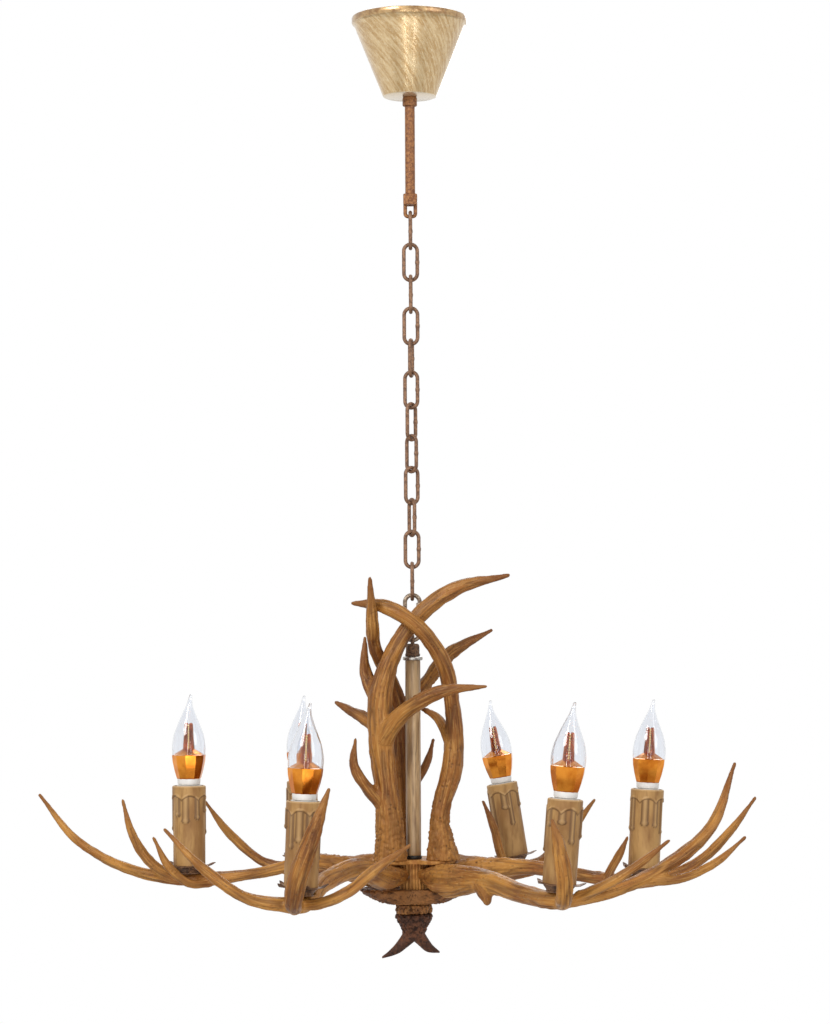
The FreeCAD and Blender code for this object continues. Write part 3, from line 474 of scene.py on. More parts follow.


# %% [markdown]
# ## Antler horn
# The horn is light golden brown with long darker streaks that run with the antler, rosy patches,
# dark pits near the root and slightly darker tips. A pattern on plain object coordinates would run
# across the bends, so each antler carries its own grain: a mark that holds how far along and where
# around the branch a point is. The upper antlers are a shade darker, which the mark `tan` says.
# Painted shade darkens the carved grooves and the hollows between the root's pearls.

# %% Horn finish
def horn_finish():
    finish = Finish("antler_horn", "antler_horn", Specular_IOR_Level=0.28)
    place, grain = finish.place(), finish.mark("grain", "Vector")
    tip, burr, groove, tan = (finish.mark(name) for name in ("tip", "burr", "groove", "tan"))
    broad = finish.ramp(finish.noise(place, 16.0, 2.0), 0.36, 0.64)
    rosy = finish.ramp(finish.noise(place + (3.0, 1.0, 2.0), 22.0, 2.0), 0.5, 0.7)
    streak = finish.noise(grain * (260.0, 260.0, 16.0), 1.0, 5.0, 0.62)
    dark_streak = finish.ramp(streak, 0.5, 0.7)
    fine = finish.noise(grain * (900.0, 900.0, 45.0), 1.0, 3.0, 0.6)
    pits = 1.0 - finish.ramp(finish.cells(place, 210.0), 0.1, 0.42)
    speck = finish.ramp(finish.noise(place, 95.0, 3.0), 0.46, 0.6) * pits
    colour = finish.coats(
        finish.mix(broad, (192, 133, 60), (142, 86, 32)),
        (rosy * 0.4, (166, 104, 56)),
        (dark_streak * 0.46, (96, 50, 18)),
        (tan * 0.36, (120, 66, 24)),
        (finish.ramp(fine, 0.45, 0.7) * 0.5, (218, 168, 96)),
        # painted shade: the carved grooves and the hollows between the root's pearls are darkened
        (groove * 0.6, (66, 34, 14)),
        (speck * (burr + 0.2), (48, 24, 10)),
        (burr * 0.35, (176, 122, 62)),
        (tip * 0.6, (112, 64, 30)),
    )
    return finish.wear(
        Base_Color=colour,
        Roughness=0.42 + dark_streak * 0.2 + burr * 0.15,
        Normal=finish.bump(streak * 0.6 + fine * 0.3 - speck * 0.5, 0.0011, 0.9),
    )


horn = horn_finish()
print("finish", horn.material.name)

# %% [markdown]
# ## Antlers
# Each antler is a beam with tines. The points are x, y, z and radius, from the middle of the hub's
# top face, on the lines that the CAD follows. A lower antler also has the flat that its light
# stands on, and how far the light leans to the side, in degrees.

# %% Antler points
HUB_TOP = -880.85
LOWER_ANTLERS = {
    "a": dict(
        flat=(-233, -21, -12), lean=0,
        beam=((-13, -1, -16, 7), (-44, -4, -15, 13), (-99, -10, -1, 8.5), (-167, -20, -13, 6.5),
              (-233, -21, -18.5, 8), (-295, -18, -8, 6), (-350, -10, 21, 5), (-391, -2, 69, 2)),
        tines=(((-248, -24, -16, 5.5), (-269, -32, -2, 6), (-290, -37, 29, 5), (-300, -38, 65, 1.5)),
               ((-213, -24, -22, 5), (-233, -43, -20, 5), (-250, -49, -5, 5), (-267, -50, 27, 1.5)),
               ((-229, -20, -18, 5), (-240, 16, -13, 5), (-240, 38, 9, 4.5), (-238, 48, 44, 1.5))),
    ),
    "b": dict(
        flat=(-107, -228, -15.5), lean=2.5,
        beam=((-13, -13, -16, 8.5), (-26, -41, -16, 12.5), (-55, -100, -1, 11), (-88, -170, -9, 10),
              (-110, -228, -24, 9), (-155, -236, -18, 6.5), (-199, -232, 10, 5.5), (-239, -216, 48, 2)),
        tines=(((-112, -232, -27, 7.5), (-112, -262, -16, 9.5), (-107, -273, 6, 10.5),
                (-93, -279, 46, 8.5), (-77, -280, 90, 2)),
               ((-107, -226, -25, 6.5), (-88, -240, -22, 6), (-60, -248, -10, 6), (-32, -253, 13, 5.5),
                (-1, -248, 34, 1.5))),
    ),
    "c": dict(
        flat=(112, 237, -25), lean=-9,
        beam=((5.5, 12, -17, 7), (19, 38, -15, 13), (63, 130, -19, 11), (112, 237, -34, 10.5),
              (139, 246, -29, 9), (174, 250, 7, 6.5), (203, 246, 45, 2)),
        tines=(((102, 222, -30, 5.5), (95, 206, -12, 5.5), (87, 200, 20, 5), (76, 198, 47, 1.5)),
               ((113, 242, -33, 8), (113, 273, -24, 6.5), (110, 292, 0, 5.5), (108, 300, 26, 1.5))),
    ),
    "d": dict(
        flat=(143, -205, -16), lean=4.5,
        beam=((13, -12, -17, 9), (36, -48, -19, 17), (67, -84, -15, 13), (116, -165, -23, 10),
              (143, -205, -24, 9), (190, -213, -15, 7.5), (249, -192, 8, 7), (294, -165, 42, 6.5),
              (323, -132, 105, 2)),
        tines=(((68, -92, -17, 8), (73, -102, -26, 8), (75, -106, -34, 5)),
               ((146, -210, -26, 7.5), (147, -240, -17, 8.5), (146, -253, 4, 8.5), (142, -258, 30, 7.5),
                (135, -259, 58, 2)),
               ((157, -212, -22, 6), (188, -232, -6, 5.5), (218, -237, 13, 5), (248, -234, 36, 1.5)),
               ((225, -203, -5, 5.5), (255, -198, -5, 5), (299, -184, 11, 4.5), (328, -174, 34, 1.5))),
    ),
    "e": dict(
        flat=(242, 21, -20.5), lean=3,
        beam=((13, 1, -16, 7), (44, 4, -15, 13), (113, 12, -10, 9), (197, 19, -23, 7.5), (242, 21, -27, 8),
              (295, 18, -9, 6), (332, 10, 26, 5), (358, 0, 62, 1.5)),
        tines=(((203, 18, -23, 5), (208, 0, -10, 5), (216, -8, 6, 4.5), (223, -12, 22, 1.5)),
               ((249, 22, -27, 5.5), (259, 56, -19, 5.5), (256, 75, 3, 4.5), (253, 83, 38, 1.5))),
    ),
    "f": dict(
        flat=(-125, 178, -19), lean=0,
        beam=((-7.5, 10.6, -17, 7), (-22, 35, -15, 13), (-67, 105, -14, 9.5), (-125, 178, -27, 9),
              (-165, 188, -20, 6), (-207, 190, 13, 5.5), (-234, 182, 50, 1.5)),
        tines=(((-125, 180, -28, 7), (-133, 212, -30, 6.5), (-136, 238, -10, 6), (-130, 250, 26, 1.5)),),
    ),
}
UPPER_ANTLERS = {
    "a": dict(
        beam=((-24, -17, -3, 17.5), (-25, -19, 38, 15), (-28, -22, 76, 12.5), (-33, -24, 128, 14),
              (-33, -25, 174, 12.5), (-9, -25, 235, 9), (40, -26, 280, 8.5), (100, -37, 296, 2.5)),
        tines=(((-37, -22, 166, 9), (-49, -10, 194, 7), (-50, 2, 232, 2)),
               ((-28, -21, 52, 7), (-47, -32, 76, 7), (-61, -39, 101, 5.5), (-59, -42, 127, 1.5)),
               ((-33, -16, 136, 7), (-54, -2, 149, 7), (-81, 12, 164, 2.5)),
               ((-31, -28, 125, 10.5), (-12, -44, 152, 9), (28, -62, 176, 7.5), (75, -72, 182, 2))),
    ),
    "b": dict(
        beam=((31, -13, -3, 17.5), (28, -13, 45, 10.5), (41, -14, 99, 12), (42, -19, 152, 9),
              (29, -32, 212, 8.5), (3, -45, 246, 8.5), (-31, -34, 265, 7.5), (-62, -20, 268, 2.5)),
        tines=(((38, -15, 124, 6), (27, 0, 146, 5.5), (7, 14, 159, 2)),),
    ),
    "c": dict(
        beam=((-11, 28, -3, 15.5), (-10, 27, 37, 10.5), (-14, 25, 100, 9.5), (-16, 17, 158, 10),
              (-31, -2, 203, 8.5), (-39, -15, 222, 7.5), (-41, -36, 247, 7), (-43, -56, 293, 2.5)),
        tines=(((-15, 19, 150, 9.5), (9, 30, 178, 8), (39, 28, 214, 7.5), (83, 24, 239, 2)),
               ((-12, 27, 66, 6.5), (3, 33, 80, 5.5), (15, 37, 101, 4.5), (21, 38, 123, 1.5))),
    ),
}
print(len(LOWER_ANTLERS), "lower and", len(UPPER_ANTLERS), "upper antlers")

# %% [markdown]
# Swept tubes give every branch, and a voxel remesh makes them one skin, closed wherever the tubes
# overlapped. It is a modifier that is evaluated once. Its voxels are smaller than the smallest tip,
# so that nothing is lost, and a few rounds of smoothing soften the forks.

# %% From tubes to one skin
VOXEL = 1.35
SMOOTHING = 0.55


def sweep_branches(form, lines, base, step, thinnest):
    """Sweeps a tube along each line, and gives the smoothed lines with their directions."""
    branches = []
    for line in lines:
        path = smooth_path(line, step)
        path[:, 2] += base
        path[:, 3] = np.maximum(path[:, 3], thinnest)
        form.add(*tube(path[:, :3], path[:, 3], 20 if path[:, 3].max() > 7 else 14))
        branches.append((path, path_frames(path[:, :3])))
    return branches


def evaluated(made):
    """The mesh that an object's modifiers give. The object itself is removed."""
    graph = bpy.context.evaluated_depsgraph_get()
    mesh = bpy.data.meshes.new_from_object(made.evaluated_get(graph))
    bpy.data.objects.remove(made)
    return mesh


def values_of(rows, key, width, kind):
    values = np.empty(len(rows) * width, kind)
    rows.foreach_get(key, values)
    return values.reshape(-1, width)


def one_skin(form, voxel, rounds):
    """The outside of overlapping closed forms as one smoothed skin: points and faces."""
    mesh = bpy.data.meshes.new("rough")
    mesh.from_pydata((np.vstack(form.points) * MM).tolist(), [], form.faces)
    rough = shown("rough", mesh)
    modifier = rough.modifiers.new("skin", "REMESH")
    modifier.mode = "VOXEL"
    modifier.voxel_size = voxel * MM
    skin = evaluated(rough)
    points = values_of(skin.vertices, "co", 3, float) / MM
    edges = values_of(skin.edges, "vertices", 2, int)
    faces = [tuple(face.vertices) for face in skin.polygons]
    for spent in (mesh, skin):
        bpy.data.meshes.remove(spent)
    count = np.bincount(edges.ravel(), minlength=len(points))
    for _ in range(rounds):
        total = [
            np.bincount(edges[:, 0], axis[edges[:, 1]], len(points))
            + np.bincount(edges[:, 1], axis[edges[:, 0]], len(points))
            for axis in points.T
        ]
        points = points + (np.stack(total / np.maximum(count, 1), -1) - points) * SMOOTHING
    return points, faces


def outward(points, faces):
    """The direction out of the skin at each point."""
    quads = np.array([f if len(f) == 4 else tuple(f) + tuple(f[-1:]) for f in faces])
    corner = points[quads]
    normals = np.cross(corner[:, 2] - corner[:, 0], corner[:, 3] - corner[:, 1])
    total = np.zeros_like(points)
    for k in range(4):
        np.add.at(total, quads[:, k], normals)
    return total / np.maximum(np.linalg.norm(total, axis=1), 1e-12)[:, None]


# %% [markdown]
# To carve along a branch, each point of the skin looks up the nearest sample of each branch's
# middle line. That gives how far along it lies, the angle round it and how near a fork it is, so
# grooves run lengthwise and fade where branches meet.

# %% Where a point lies on its branch
def branch_places(points, branches):
    """For each point: its branch's number, its grain, what is left to the tip, the branch's radius
    there, and how much nearer this branch is than the next one."""
    gap, found = np.empty((len(branches), len(points))), []
    for number, (path, frames) in enumerate(branches):
        tree = kdtree.KDTree(len(path))
        for k, sample in enumerate(path):
            tree.insert(sample[:3], k)
        tree.balance()
        nearest = np.array([tree.find(p)[1] for p in points])
        along, across, over = (f[nearest] for f in frames)
        away = points - path[nearest, :3]
        steps = lengths(path)
        place = steps[nearest] + (away * along).sum(1)
        angle = np.arctan2((away * over).sum(1), (away * across).sum(1))
        radius = path[nearest, 3]
        gap[number] = np.linalg.norm(away, axis=1) - radius
        found.append(np.stack([place, radius * np.cos(angle), radius * np.sin(angle), radius, steps[-1] - place], -1))
    order, every = np.argsort(gap, axis=0), np.arange(len(points))
    place, left_right, front_back, radius, left = np.array(found)[order[0], every].T
    grain = np.stack([left_right, front_back, place], -1)
    return order[0], grain, left, radius, gap[order[1], every] - gap[order[0], every]


# %% [markdown]
# A carved skin must still leave room for its neighbours: the cup and tray of its light, and the
# hub's column, disc and bowl. Points that come too near are pressed back. An upper antler stands on
# the disc, so its foot is cut level and closed.

# %% Room for the light and the hub
CUP_ROOM, CUP_RISE, SEAT_GAP = 18.9, 7, 0.08
TRAY_ROOM, TRAY_LOW, TRAY_HIGH = 27.9, 6.4, 15.5
COLUMN_ROOM, DISC_ROOM, BOWL_ROOM = 15.8, 44.4, 59.4
UNDER_DISC, OVER_DISC, OVER_BOWL = -4.3, 8, -30.8


def light_frame(data):
    """The place of an antler's light: on its flat, leaning to the side."""
    x, y, z = data["flat"]
    return Matrix.Translation((x, y, z + HUB_TOP)) @ Matrix.Rotation(math.radians(data["lean"]), 4, "Y")


def clear_of_seat(points, seat):
    """Keeps an antler's skin under the flat that its light stands on, and out of the tray."""
    turn, origin = np.array(seat.to_3x3()), np.array(seat.translation)
    local = (points - origin) @ turn
    reach = np.maximum(off_axis(local), 1e-6)
    local[(reach < CUP_ROOM) & (local[:, 2] > -SEAT_GAP) & (local[:, 2] < CUP_RISE), 2] = -SEAT_GAP
    beside = (reach < TRAY_ROOM) & (local[:, 2] > TRAY_LOW) & (local[:, 2] < TRAY_HIGH)
    local[beside, :2] *= (TRAY_ROOM / reach[beside])[:, None]
    return local @ turn.T + origin


def clear_of_hub(points):
    """Keeps a lower antler's root off the column, under the disc and over the bowl."""
    points = points.copy()
    reach = np.maximum(off_axis(points), 1e-6)
    depth = points[:, 2] - HUB_TOP
    close = reach < COLUMN_ROOM
    points[close, :2] *= (COLUMN_ROOM / reach[close])[:, None]
    points[(reach < DISC_ROOM) & (depth > UNDER_DISC) & (depth < OVER_DISC), 2] = HUB_TOP + UNDER_DISC
    points[(reach < BOWL_ROOM) & (depth < OVER_BOWL), 2] = HUB_TOP + OVER_BOWL
    return points


def cut_foot(points, faces, marks, level):
    """Cuts a skin at a level, drops its rim to it and closes the cut."""
    keep = points[:, 2] > level
    number = np.cumsum(keep) - 1
    kept = [tuple(number[i] for i in face) for face in faces if all(keep[i] for i in face)]
    edges = dict.fromkeys((a, b) for face in kept for a, b in zip(face, face[1:] + face[:1]))
    after = {a: b for a, b in edges if (b, a) not in edges}
    chain = [min(after)]
    while after[chain[-1]] != chain[0] and len(chain) <= len(after):
        chain.append(after[chain[-1]])
    points = points[keep]
    dropped = points[chain]
    dropped[:, 2] = level
    base, size = len(points), len(chain)
    for k in range(size):
        after_k = (k + 1) % size
        kept.append((chain[after_k], chain[k], base + k, base + after_k))
        kept.append((base + after_k, base + k, base + size))
    marks = {key: values[keep] for key, values in marks.items()}
    marks = {key: np.concatenate([values, values[chain], values[chain[:1]]]) for key, values in marks.items()}
    return np.vstack([points, dropped, dropped.mean(0)]), kept, marks


# %% [markdown]
# Then the relief: grooves and long lumps that follow the grain, small lumps that don't, and pearls
# at the root. On a lower antler the pearls lie on the root's upper side, and on an upper one they
# ring its foot, with a few patches higher up.

# %% Carving an antler
CAD_LOW, CAD_HIGH = (np.array(corner) / MM for corner in cad_box)
THINNEST, PATH_STEP = 2.3, 3.0
BOX_GAP, FOOT_GAP = 0.1, 0.05
BRANCH_APART = 61
LOWER_SEED, UPPER_SEED, SEED_STEP = 10, 211, 17


def pearled(points, normals, root, lower, seed):
    """How much of an antler's root is covered with pearls, 0 to 1."""
    if lower:
        return (1 - ease(root, 45, 105)) * ease(normals[:, 2], -0.1, 0.6)
    patches = 0.5 * ease(swell(points, 26, seed), 0.0, 0.7) * (root < 120)
    return np.maximum(1 - ease(root + 14 * swell(points, 15, seed + 1), 28, 84), patches)


def carve_antler(name, data, seed):
    """Sweeps, remeshes, carves and fits one antler."""
    lower = "flat" in data
    form = Form()
    branches = sweep_branches(form, (data["beam"], *data["tines"]), HUB_TOP, PATH_STEP, THINNEST)
    points, faces = one_skin(form, VOXEL, rounds=6)
    number, grain, left, radius, apart = branch_places(points, branches)
    root = np.where(number == 0, grain[:, 2], 99.0)
    grain[:, 2] += number * BRANCH_APART
    normals = outward(points, faces)
    burr = pearled(points, normals, root, lower, seed)
    body = ease(radius, 2.5, 7)
    groove = creases(grain, (3.4, 3.4, 46), seed + 3, 2.6) * ease(apart, 0.5, 5) * body
    bead = np.maximum(pearls(points, 4.0, seed + 8), 0.9 * pearls(points, 8.5, seed + 9))
    lift = 0.8 * swell(grain, (9, 9, 34), seed + 5) + 0.45 * swell(points, 7, seed + 6)
    lift = lift * body - 0.85 * groove + burr * (2.7 * bead - 1.3)
    points = np.clip(points + normals * lift[:, None], CAD_LOW + BOX_GAP, CAD_HIGH - BOX_GAP)
    marks = {
        "grain": grain * MM,
        "tip": 1 - ease(left, 5, 45),
        "burr": np.clip(burr, 0, 1),
        # the groove depth and the hollows between the pearls: the mask of the horn's painted shade
        "groove": np.maximum(groove, burr * np.clip(0.9 - bead * 1.6, 0, 1)),
        "tan": np.full(len(points), 0.0 if lower else 1.0),
    }
    if lower:
        points = clear_of_seat(clear_of_hub(points), light_frame(data))
    else:
        points, faces, marks = cut_foot(points, faces, marks, HUB_TOP + FOOT_GAP)
    build(f"{name}_horn", Form().add(points, faces, **marks), horn, 0, name)


for number, (letter, data) in enumerate(LOWER_ANTLERS.items()):
    carve_antler(f"lower_antler_{letter}", data, LOWER_SEED + number * SEED_STEP)
for number, (letter, data) in enumerate(UPPER_ANTLERS.items()):
    carve_antler(f"upper_antler_{letter}", data, UPPER_SEED + number * SEED_STEP)

# %% [markdown]
# ## Metals
# The rod, chain and loop are dipped in a rust-brown paint that is mottled with tan, the way a
# foundry finish is sponged on. One recipe makes every metal here: two tones by a noise, specks
# of a third tone, and a little relief so that highlights break up.

# %% Metal finishes
METALS = {  # slot, light, dark and speck, scale of the mottling, metallic, roughness, relief in metres
    "rust_paint": ("rust_paint", (166, 112, 62), (112, 64, 32), (62, 32, 18), 380.0, 0.2, 0.4, 0.0004),
    "chain_paint": ("rust_paint", (150, 112, 84), (104, 74, 54), (52, 36, 28), 300.0, 0.35, 0.42, 0.0004),
    "screw_link_steel": ("link_zinc", (176, 158, 138), (120, 104, 88), (70, 56, 46), 260.0, 0.8, 0.3, 0.0004),
    "cap_iron": ("cap_iron", (132, 98, 68), (76, 54, 40), (40, 30, 24), 420.0, 0.3, 0.5, 0.0006),
    "washer_steel": ("washer_steel", (206, 202, 196), (160, 156, 150), (110, 104, 98), 180.0, 0.9, 0.24, 0.0001),
    "black_washer": ("washer_steel", (58, 54, 50), (34, 32, 30), (110, 102, 92), 300.0, 0.5, 0.4, 0.0002),
    "tray_bronze": ("tray_bronze", (122, 88, 62), (70, 48, 36), (166, 128, 88), 130.0, 0.35, 0.42, 0.0004),
    "dark_screw": (None, (70, 58, 48), (44, 36, 30), (20, 16, 14), 400.0, 0.6, 0.4, 0.0002),
    "bar_zinc_plate": (None, (196, 194, 188), (166, 164, 158), (132, 130, 126), 120.0, 0.85, 0.32, 0.0002),
    "earth_brass_plate": (None, (214, 180, 104), (186, 148, 74), (130, 98, 50), 160.0, 0.85, 0.28, 0.0002),
    "inner_steel_plate": (None, (168, 164, 158), (132, 128, 122), (90, 86, 82), 150.0, 0.85, 0.34, 0.0002),
}


def mottled(name, slot, light, dark, speck, scale, metallic, roughness, relief):
    """A metal or a painted metal, by the facts in its row of the table."""
    finish = Finish(name, slot, Metallic=metallic)
    place = finish.place()
    patches = finish.noise(place, scale, 4.0, 0.65)
    grit = finish.noise(place, scale * 3.4, 4.0, 0.7)
    spots = finish.ramp(grit, 0.54, 0.68)
    return finish.wear(
        Base_Color=finish.coats(finish.mix(finish.ramp(patches, 0.38, 0.62), dark, light), (spots, speck)),
        Roughness=roughness + patches * 0.18 + spots * 0.12,
        Normal=finish.bump(grit * 0.6 + patches * 0.4, relief, 0.8),
    )


metal = {name: mottled(name, *facts) for name, facts in METALS.items()}
rust, bronze = metal["rust_paint"], metal["tray_bronze"]
print(len(metal), "metal finishes")

# %% [markdown]
# ## Canopy
# The cup that hides the ceiling box is spun sheet with a rolled rim. It is painted champagne gold
# and brushed: long diagonal strokes lie over the cone. The strokes are made by turning Object
# coordinates about the axis in step with their height, then stretching a noise along them. A coat
# of clear varnish gives the upright highlights.

# %% Canopy finish
FOOT_FACE, FOOT_EDGE = -0.0826, -0.0819
RIM_FACE, RIM_EDGE = -0.0058, -0.0072


def champagne_finish():
    """Brushed champagne gold, with painted light that makes the face at its foot paler, and worn at its rim. In
    metres.
    """
    finish = Finish("canopy_champagne", "canopy_gold", Metallic=0.6, Coat_Weight=0.5, Coat_Roughness=0.12)
    place = finish.place()
    across = finish.add("ShaderNodeSeparateXYZ", {}, {0: place})
    depth, height = across.beside(1), across.beside(2)
    angle = finish.add("ShaderNodeMath", {"operation": "ARCTAN2"}, {0: depth, 1: across})
    ways = {0: angle * 9.0 + height * 160.0, 1: height * 14.0, 2: angle * 1.5}
    slant = finish.add("ShaderNodeCombineXYZ", {}, ways)
    strokes, fine = finish.noise(slant, 1.6, 4.0, 0.55), finish.noise(slant, 11.0, 4.0, 0.6)
    dark = finish.ramp(fine, 0.5, 0.34)
    patches = finish.ramp(finish.noise(place, 90.0, 4.0, 0.7), 0.4, 0.6)
    # painted light: the face at the canopy's foot is made paler
    painted_light_underside, rim = finish.ramp(height, FOOT_EDGE, FOOT_FACE), finish.ramp(height, RIM_EDGE, RIM_FACE)
    colour = finish.coats(
        finish.mix(finish.ramp(strokes, 0.4, 0.62), (188, 152, 98), (218, 190, 142)),
        (finish.ramp(fine, 0.5, 0.66) * 0.6, (242, 226, 194)),
        (dark * 0.45, (146, 106, 62)),
        (painted_light_underside * 0.8, (226, 208, 176)),
        (rim * 0.8, finish.mix(patches, (132, 90, 48), (186, 150, 100))),
    )
    return finish.wear(
        Base_Color=colour,
        Roughness=0.24 + dark * 0.16,
        Normal=finish.bump(fine * 0.5 + strokes * 0.5, 0.00016, 0.5),
    )


champagne = champagne_finish()
print("finish", champagne.material.name)

# %% Canopy cup and collar
CANOPY_PROFILE = [
    (5.6, -83), (26.4, -83), (27.6, -82.6), (28.2, -81.6), (55.2, -15), (56.4, -11.5), (57.8, -8.6),
    (58.8, -7.2), (59.8, -6.6), (60.4, -5.4), (60.45, -1.4), (60.1, -0.4), (59.2, 0), (58.4, -0.6),
    (58.2, -2.0), (58.0, -5.5), (56.6, -8.9), (55.2, -11.8), (54.0, -15.3), (27.1, -81.3), (26.4, -81.8),
    (5.6, -81.8),
]
COLLAR_PROFILE = [
    (5.28, -92.5), (6.9, -92.5), (7.5, -91.9), (7.6, -91.2), (7.6, -84.6), (7.3, -83.7), (6.8, -83.0), (5.28, -83.0),
]
lathe("canopy_cup_spun", CANOPY_PROFILE, 128, champagne, "canopy_cup", "canopy")
lathe("canopy_collar_turned", COLLAR_PROFILE, 48, rust, "canopy_collar", "canopy")

# %% [markdown]
# ## Rod and loop
# A plain tube screws into a small square block, and a bent wire loop under the block carries the
# chain. The block is rings of a rounded square that draw in at its ends, joined to the rings of its
# bore, and the loop is one tube swept along its bends.

# %% Rod, block and loop
ROD_RADIUS, ROD_BORE, ROD_FOOT = 5.2, 3.5, -194.0
BLOCK_TOP, BLOCK_FOOT, LOOP_BAR = -185.0, -196.4, -208.0
SOCKET_RADIUS, SOCKET_FOOT = 5.25, ROD_FOOT - 0.05
ROD_PROFILE = [
    (ROD_BORE, ROD_FOOT), (4.8, ROD_FOOT), (ROD_RADIUS, ROD_FOOT + 0.5), (ROD_RADIUS, -120), (ROD_RADIUS, -60),
    (ROD_RADIUS, -0.6), (4.9, 0), (ROD_BORE, 0),
]
SCREW_RING = [(2.6, 0), (2.7, 0.35), (2.2, 0.7), (1.7, 0.75), (1.7, 0.3)]
lathe("suspension_rod_tube", ROD_PROFILE, 40, rust, "suspension_rod", "ceiling_mount")


def rounded_square(half_x, half_y, corner, height, steps=6):
    """A ring of points round a square with round corners."""
    points = []
    for quarter, (x, y) in enumerate(((1, 1), (-1, 1), (-1, -1), (1, -1))):
        for k in range(steps + 1):
            a = (quarter + k / steps) * math.pi / 2
            x_place = x * (half_x - corner) + corner * math.cos(a)
            points.append((x_place, y * (half_y - corner) + corner * math.sin(a), height))
    return np.array(points)


def bent_loop(half, corner, foot, top):
    """The middle line of a U of wire that hangs from top to foot."""
    line = [(-half, 0, top), (-half, 0, foot + corner + 2)]
    for a in (math.pi + k * math.pi / 12 for k in range(7)):
        line.append((-half + corner + corner * math.cos(a), 0, foot + corner + corner * math.sin(a)))
    return np.array(line + [(-x, y, z) for x, y, z in reversed(line)])


block_rings = [
    rounded_square(6.6, 7.3, 1.6, BLOCK_FOOT),
    rounded_square(7.3, 8.0, 2.0, BLOCK_FOOT + 0.7),
    rounded_square(7.3, 8.0, 2.0, BLOCK_TOP - 0.7),
    rounded_square(6.6, 7.3, 1.6, BLOCK_TOP),
]
bore = ((SOCKET_RADIUS, BLOCK_TOP), (SOCKET_RADIUS, SOCKET_FOOT), (ROD_BORE, SOCKET_FOOT), (ROD_BORE, BLOCK_FOOT))
block_rings += [circle(radius, height, len(block_rings[0])) for radius, height in bore]
block = Form().add(*surface(block_rings, loop=True))
block.add(*tube(bent_loop(5.3, 3.0, LOOP_BAR, BLOCK_FOOT + 0.6), 2.0, 20))
front = Matrix.Translation((0, -7.9, (BLOCK_TOP + BLOCK_FOOT) / 2)) @ Matrix.Rotation(math.radians(90), 4, "X")
block.add(*turned(SCREW_RING, 24), front)
build("rod_loop_block", block, rust, 35, "rod_loop", "ceiling_mount")

# %% [markdown]
# ## Chain
# Twelve welded links of round wire, each turned against its neighbour. They all follow one rule,
# so one Geometry Nodes tree makes them: a rounded oblong curve, a round profile swept along it
# with a bulge at the weld, then a turn and a drop to its place in the chain.

# %% A Geometry Nodes tree with named inputs
class Pattern(Network):
    """A Geometry Nodes tree. Each input is named and has a starting value."""

    def __init__(self, name, **inputs):
        super().__init__(bpy.data.node_groups.new(name, "GeometryNodeTree"))
        socket, kinds = self.tree.interface.new_socket, {float: "NodeSocketFloat", int: "NodeSocketInt"}
        for key, value in inputs.items():
            socket(key, in_out="INPUT", socket_type=kinds[type(value)])
        socket("Geometry", in_out="OUTPUT", socket_type="NodeSocketGeometry")
        self.entry = self.tree.nodes.new("NodeGroupInput")
        self.values = inputs

    def given(self, name):
        return Wire(self, self.entry.outputs[name])

    def ends(self, geometry, finish):
        """Realizes what was instanced, sets its material and closes the tree."""
        real = self.add("GeometryNodeRealizeInstances", {}, {0: geometry})
        painted = self.add("GeometryNodeSetMaterial", {}, {"Geometry": real, "Material": finish.material})
        self.add("NodeGroupOutput", {}, {0: painted})
        return self

    def grow(self, name, **values):
        """Evaluates the tree once and keeps the result as a plain mesh."""
        seedling = shown(name + "_seed", bpy.data.meshes.new(name))
        modifier = seedling.modifiers.new(name, "NODES")
        modifier.node_group = self.tree
        for item in self.tree.interface.items_tree:
            if item.in_out == "INPUT":
                modifier[item.identifier] = values.get(item.name, self.values[item.name])
        grown = evaluated(seedling)
        grown.name = name
        grown.shade_smooth()
        grown.set_sharp_from_angle(angle=math.radians(35))
        return shown(name, grown)


# %% Chain links
LINK_TURNS = (90, 0, 90, 0, 80, -20, 53, -45, 26, -66, 0, 90)
LINK_PITCH, FIRST_LINK = 33.4, -222.6


def link_pattern():
    """A welded link: rounded oblong, swept, turned and hung. Sizes are in metres."""
    pattern = Pattern("chain_link", Wire=0.002, Length=0.0416, Width=0.018, Height=0.0, Turn=0.0)
    wire = pattern.given("Wire")
    width, length = pattern.given("Width") - wire * 2.0, pattern.given("Length") - wire * 2.0
    oblong = pattern.add("GeometryNodeCurvePrimitiveQuadrilateral", {}, {"Width": width, "Height": length})
    corners = {"Curve": oblong, "Count": 14, "Radius": width * 0.4995}
    rounded = pattern.add("GeometryNodeFilletCurve", {"mode": "POLY"}, corners)
    even = pattern.add("GeometryNodeResampleCurve", {}, {"Curve": rounded, "Count": 96})
    spot = pattern.add("GeometryNodeInputPosition")
    x_place = pattern.add("ShaderNodeSeparateXYZ", {}, {0: spot})
    y_place = x_place.beside(1)
    weld = {"Value": y_place * y_place, "From Min": 0.0, "From Max": 0.0000058, "To Min": 1.0, "To Max": 0.0}
    near = pattern.add("ShaderNodeMapRange", {"interpolation_type": "SMOOTHSTEP"}, weld)
    side = pattern.add("ShaderNodeMath", {"operation": "GREATER_THAN"}, {0: x_place, 1: 0.0})
    profile = pattern.add("GeometryNodeCurvePrimitiveCircle", {}, {"Resolution": 14, "Radius": 1.0})
    sweep = {"Curve": even, "Profile Curve": profile, "Scale": wire * (1.0 + near * side * 0.2)}
    swept = pattern.add("GeometryNodeCurveToMesh", {}, sweep)
    upright = {"Geometry": swept, "Rotation": (math.pi / 2, 0.0, 0.0)}
    standing = pattern.add("GeometryNodeTransform", {}, upright)
    height = pattern.add("ShaderNodeCombineXYZ", {}, {2: pattern.given("Height")})
    spin = pattern.add("ShaderNodeCombineXYZ", {}, {2: pattern.given("Turn")})
    hanging = {"Geometry": standing, "Translation": height, "Rotation": spin}
    return pattern.ends(pattern.add("GeometryNodeTransform", {}, hanging), metal["chain_paint"])


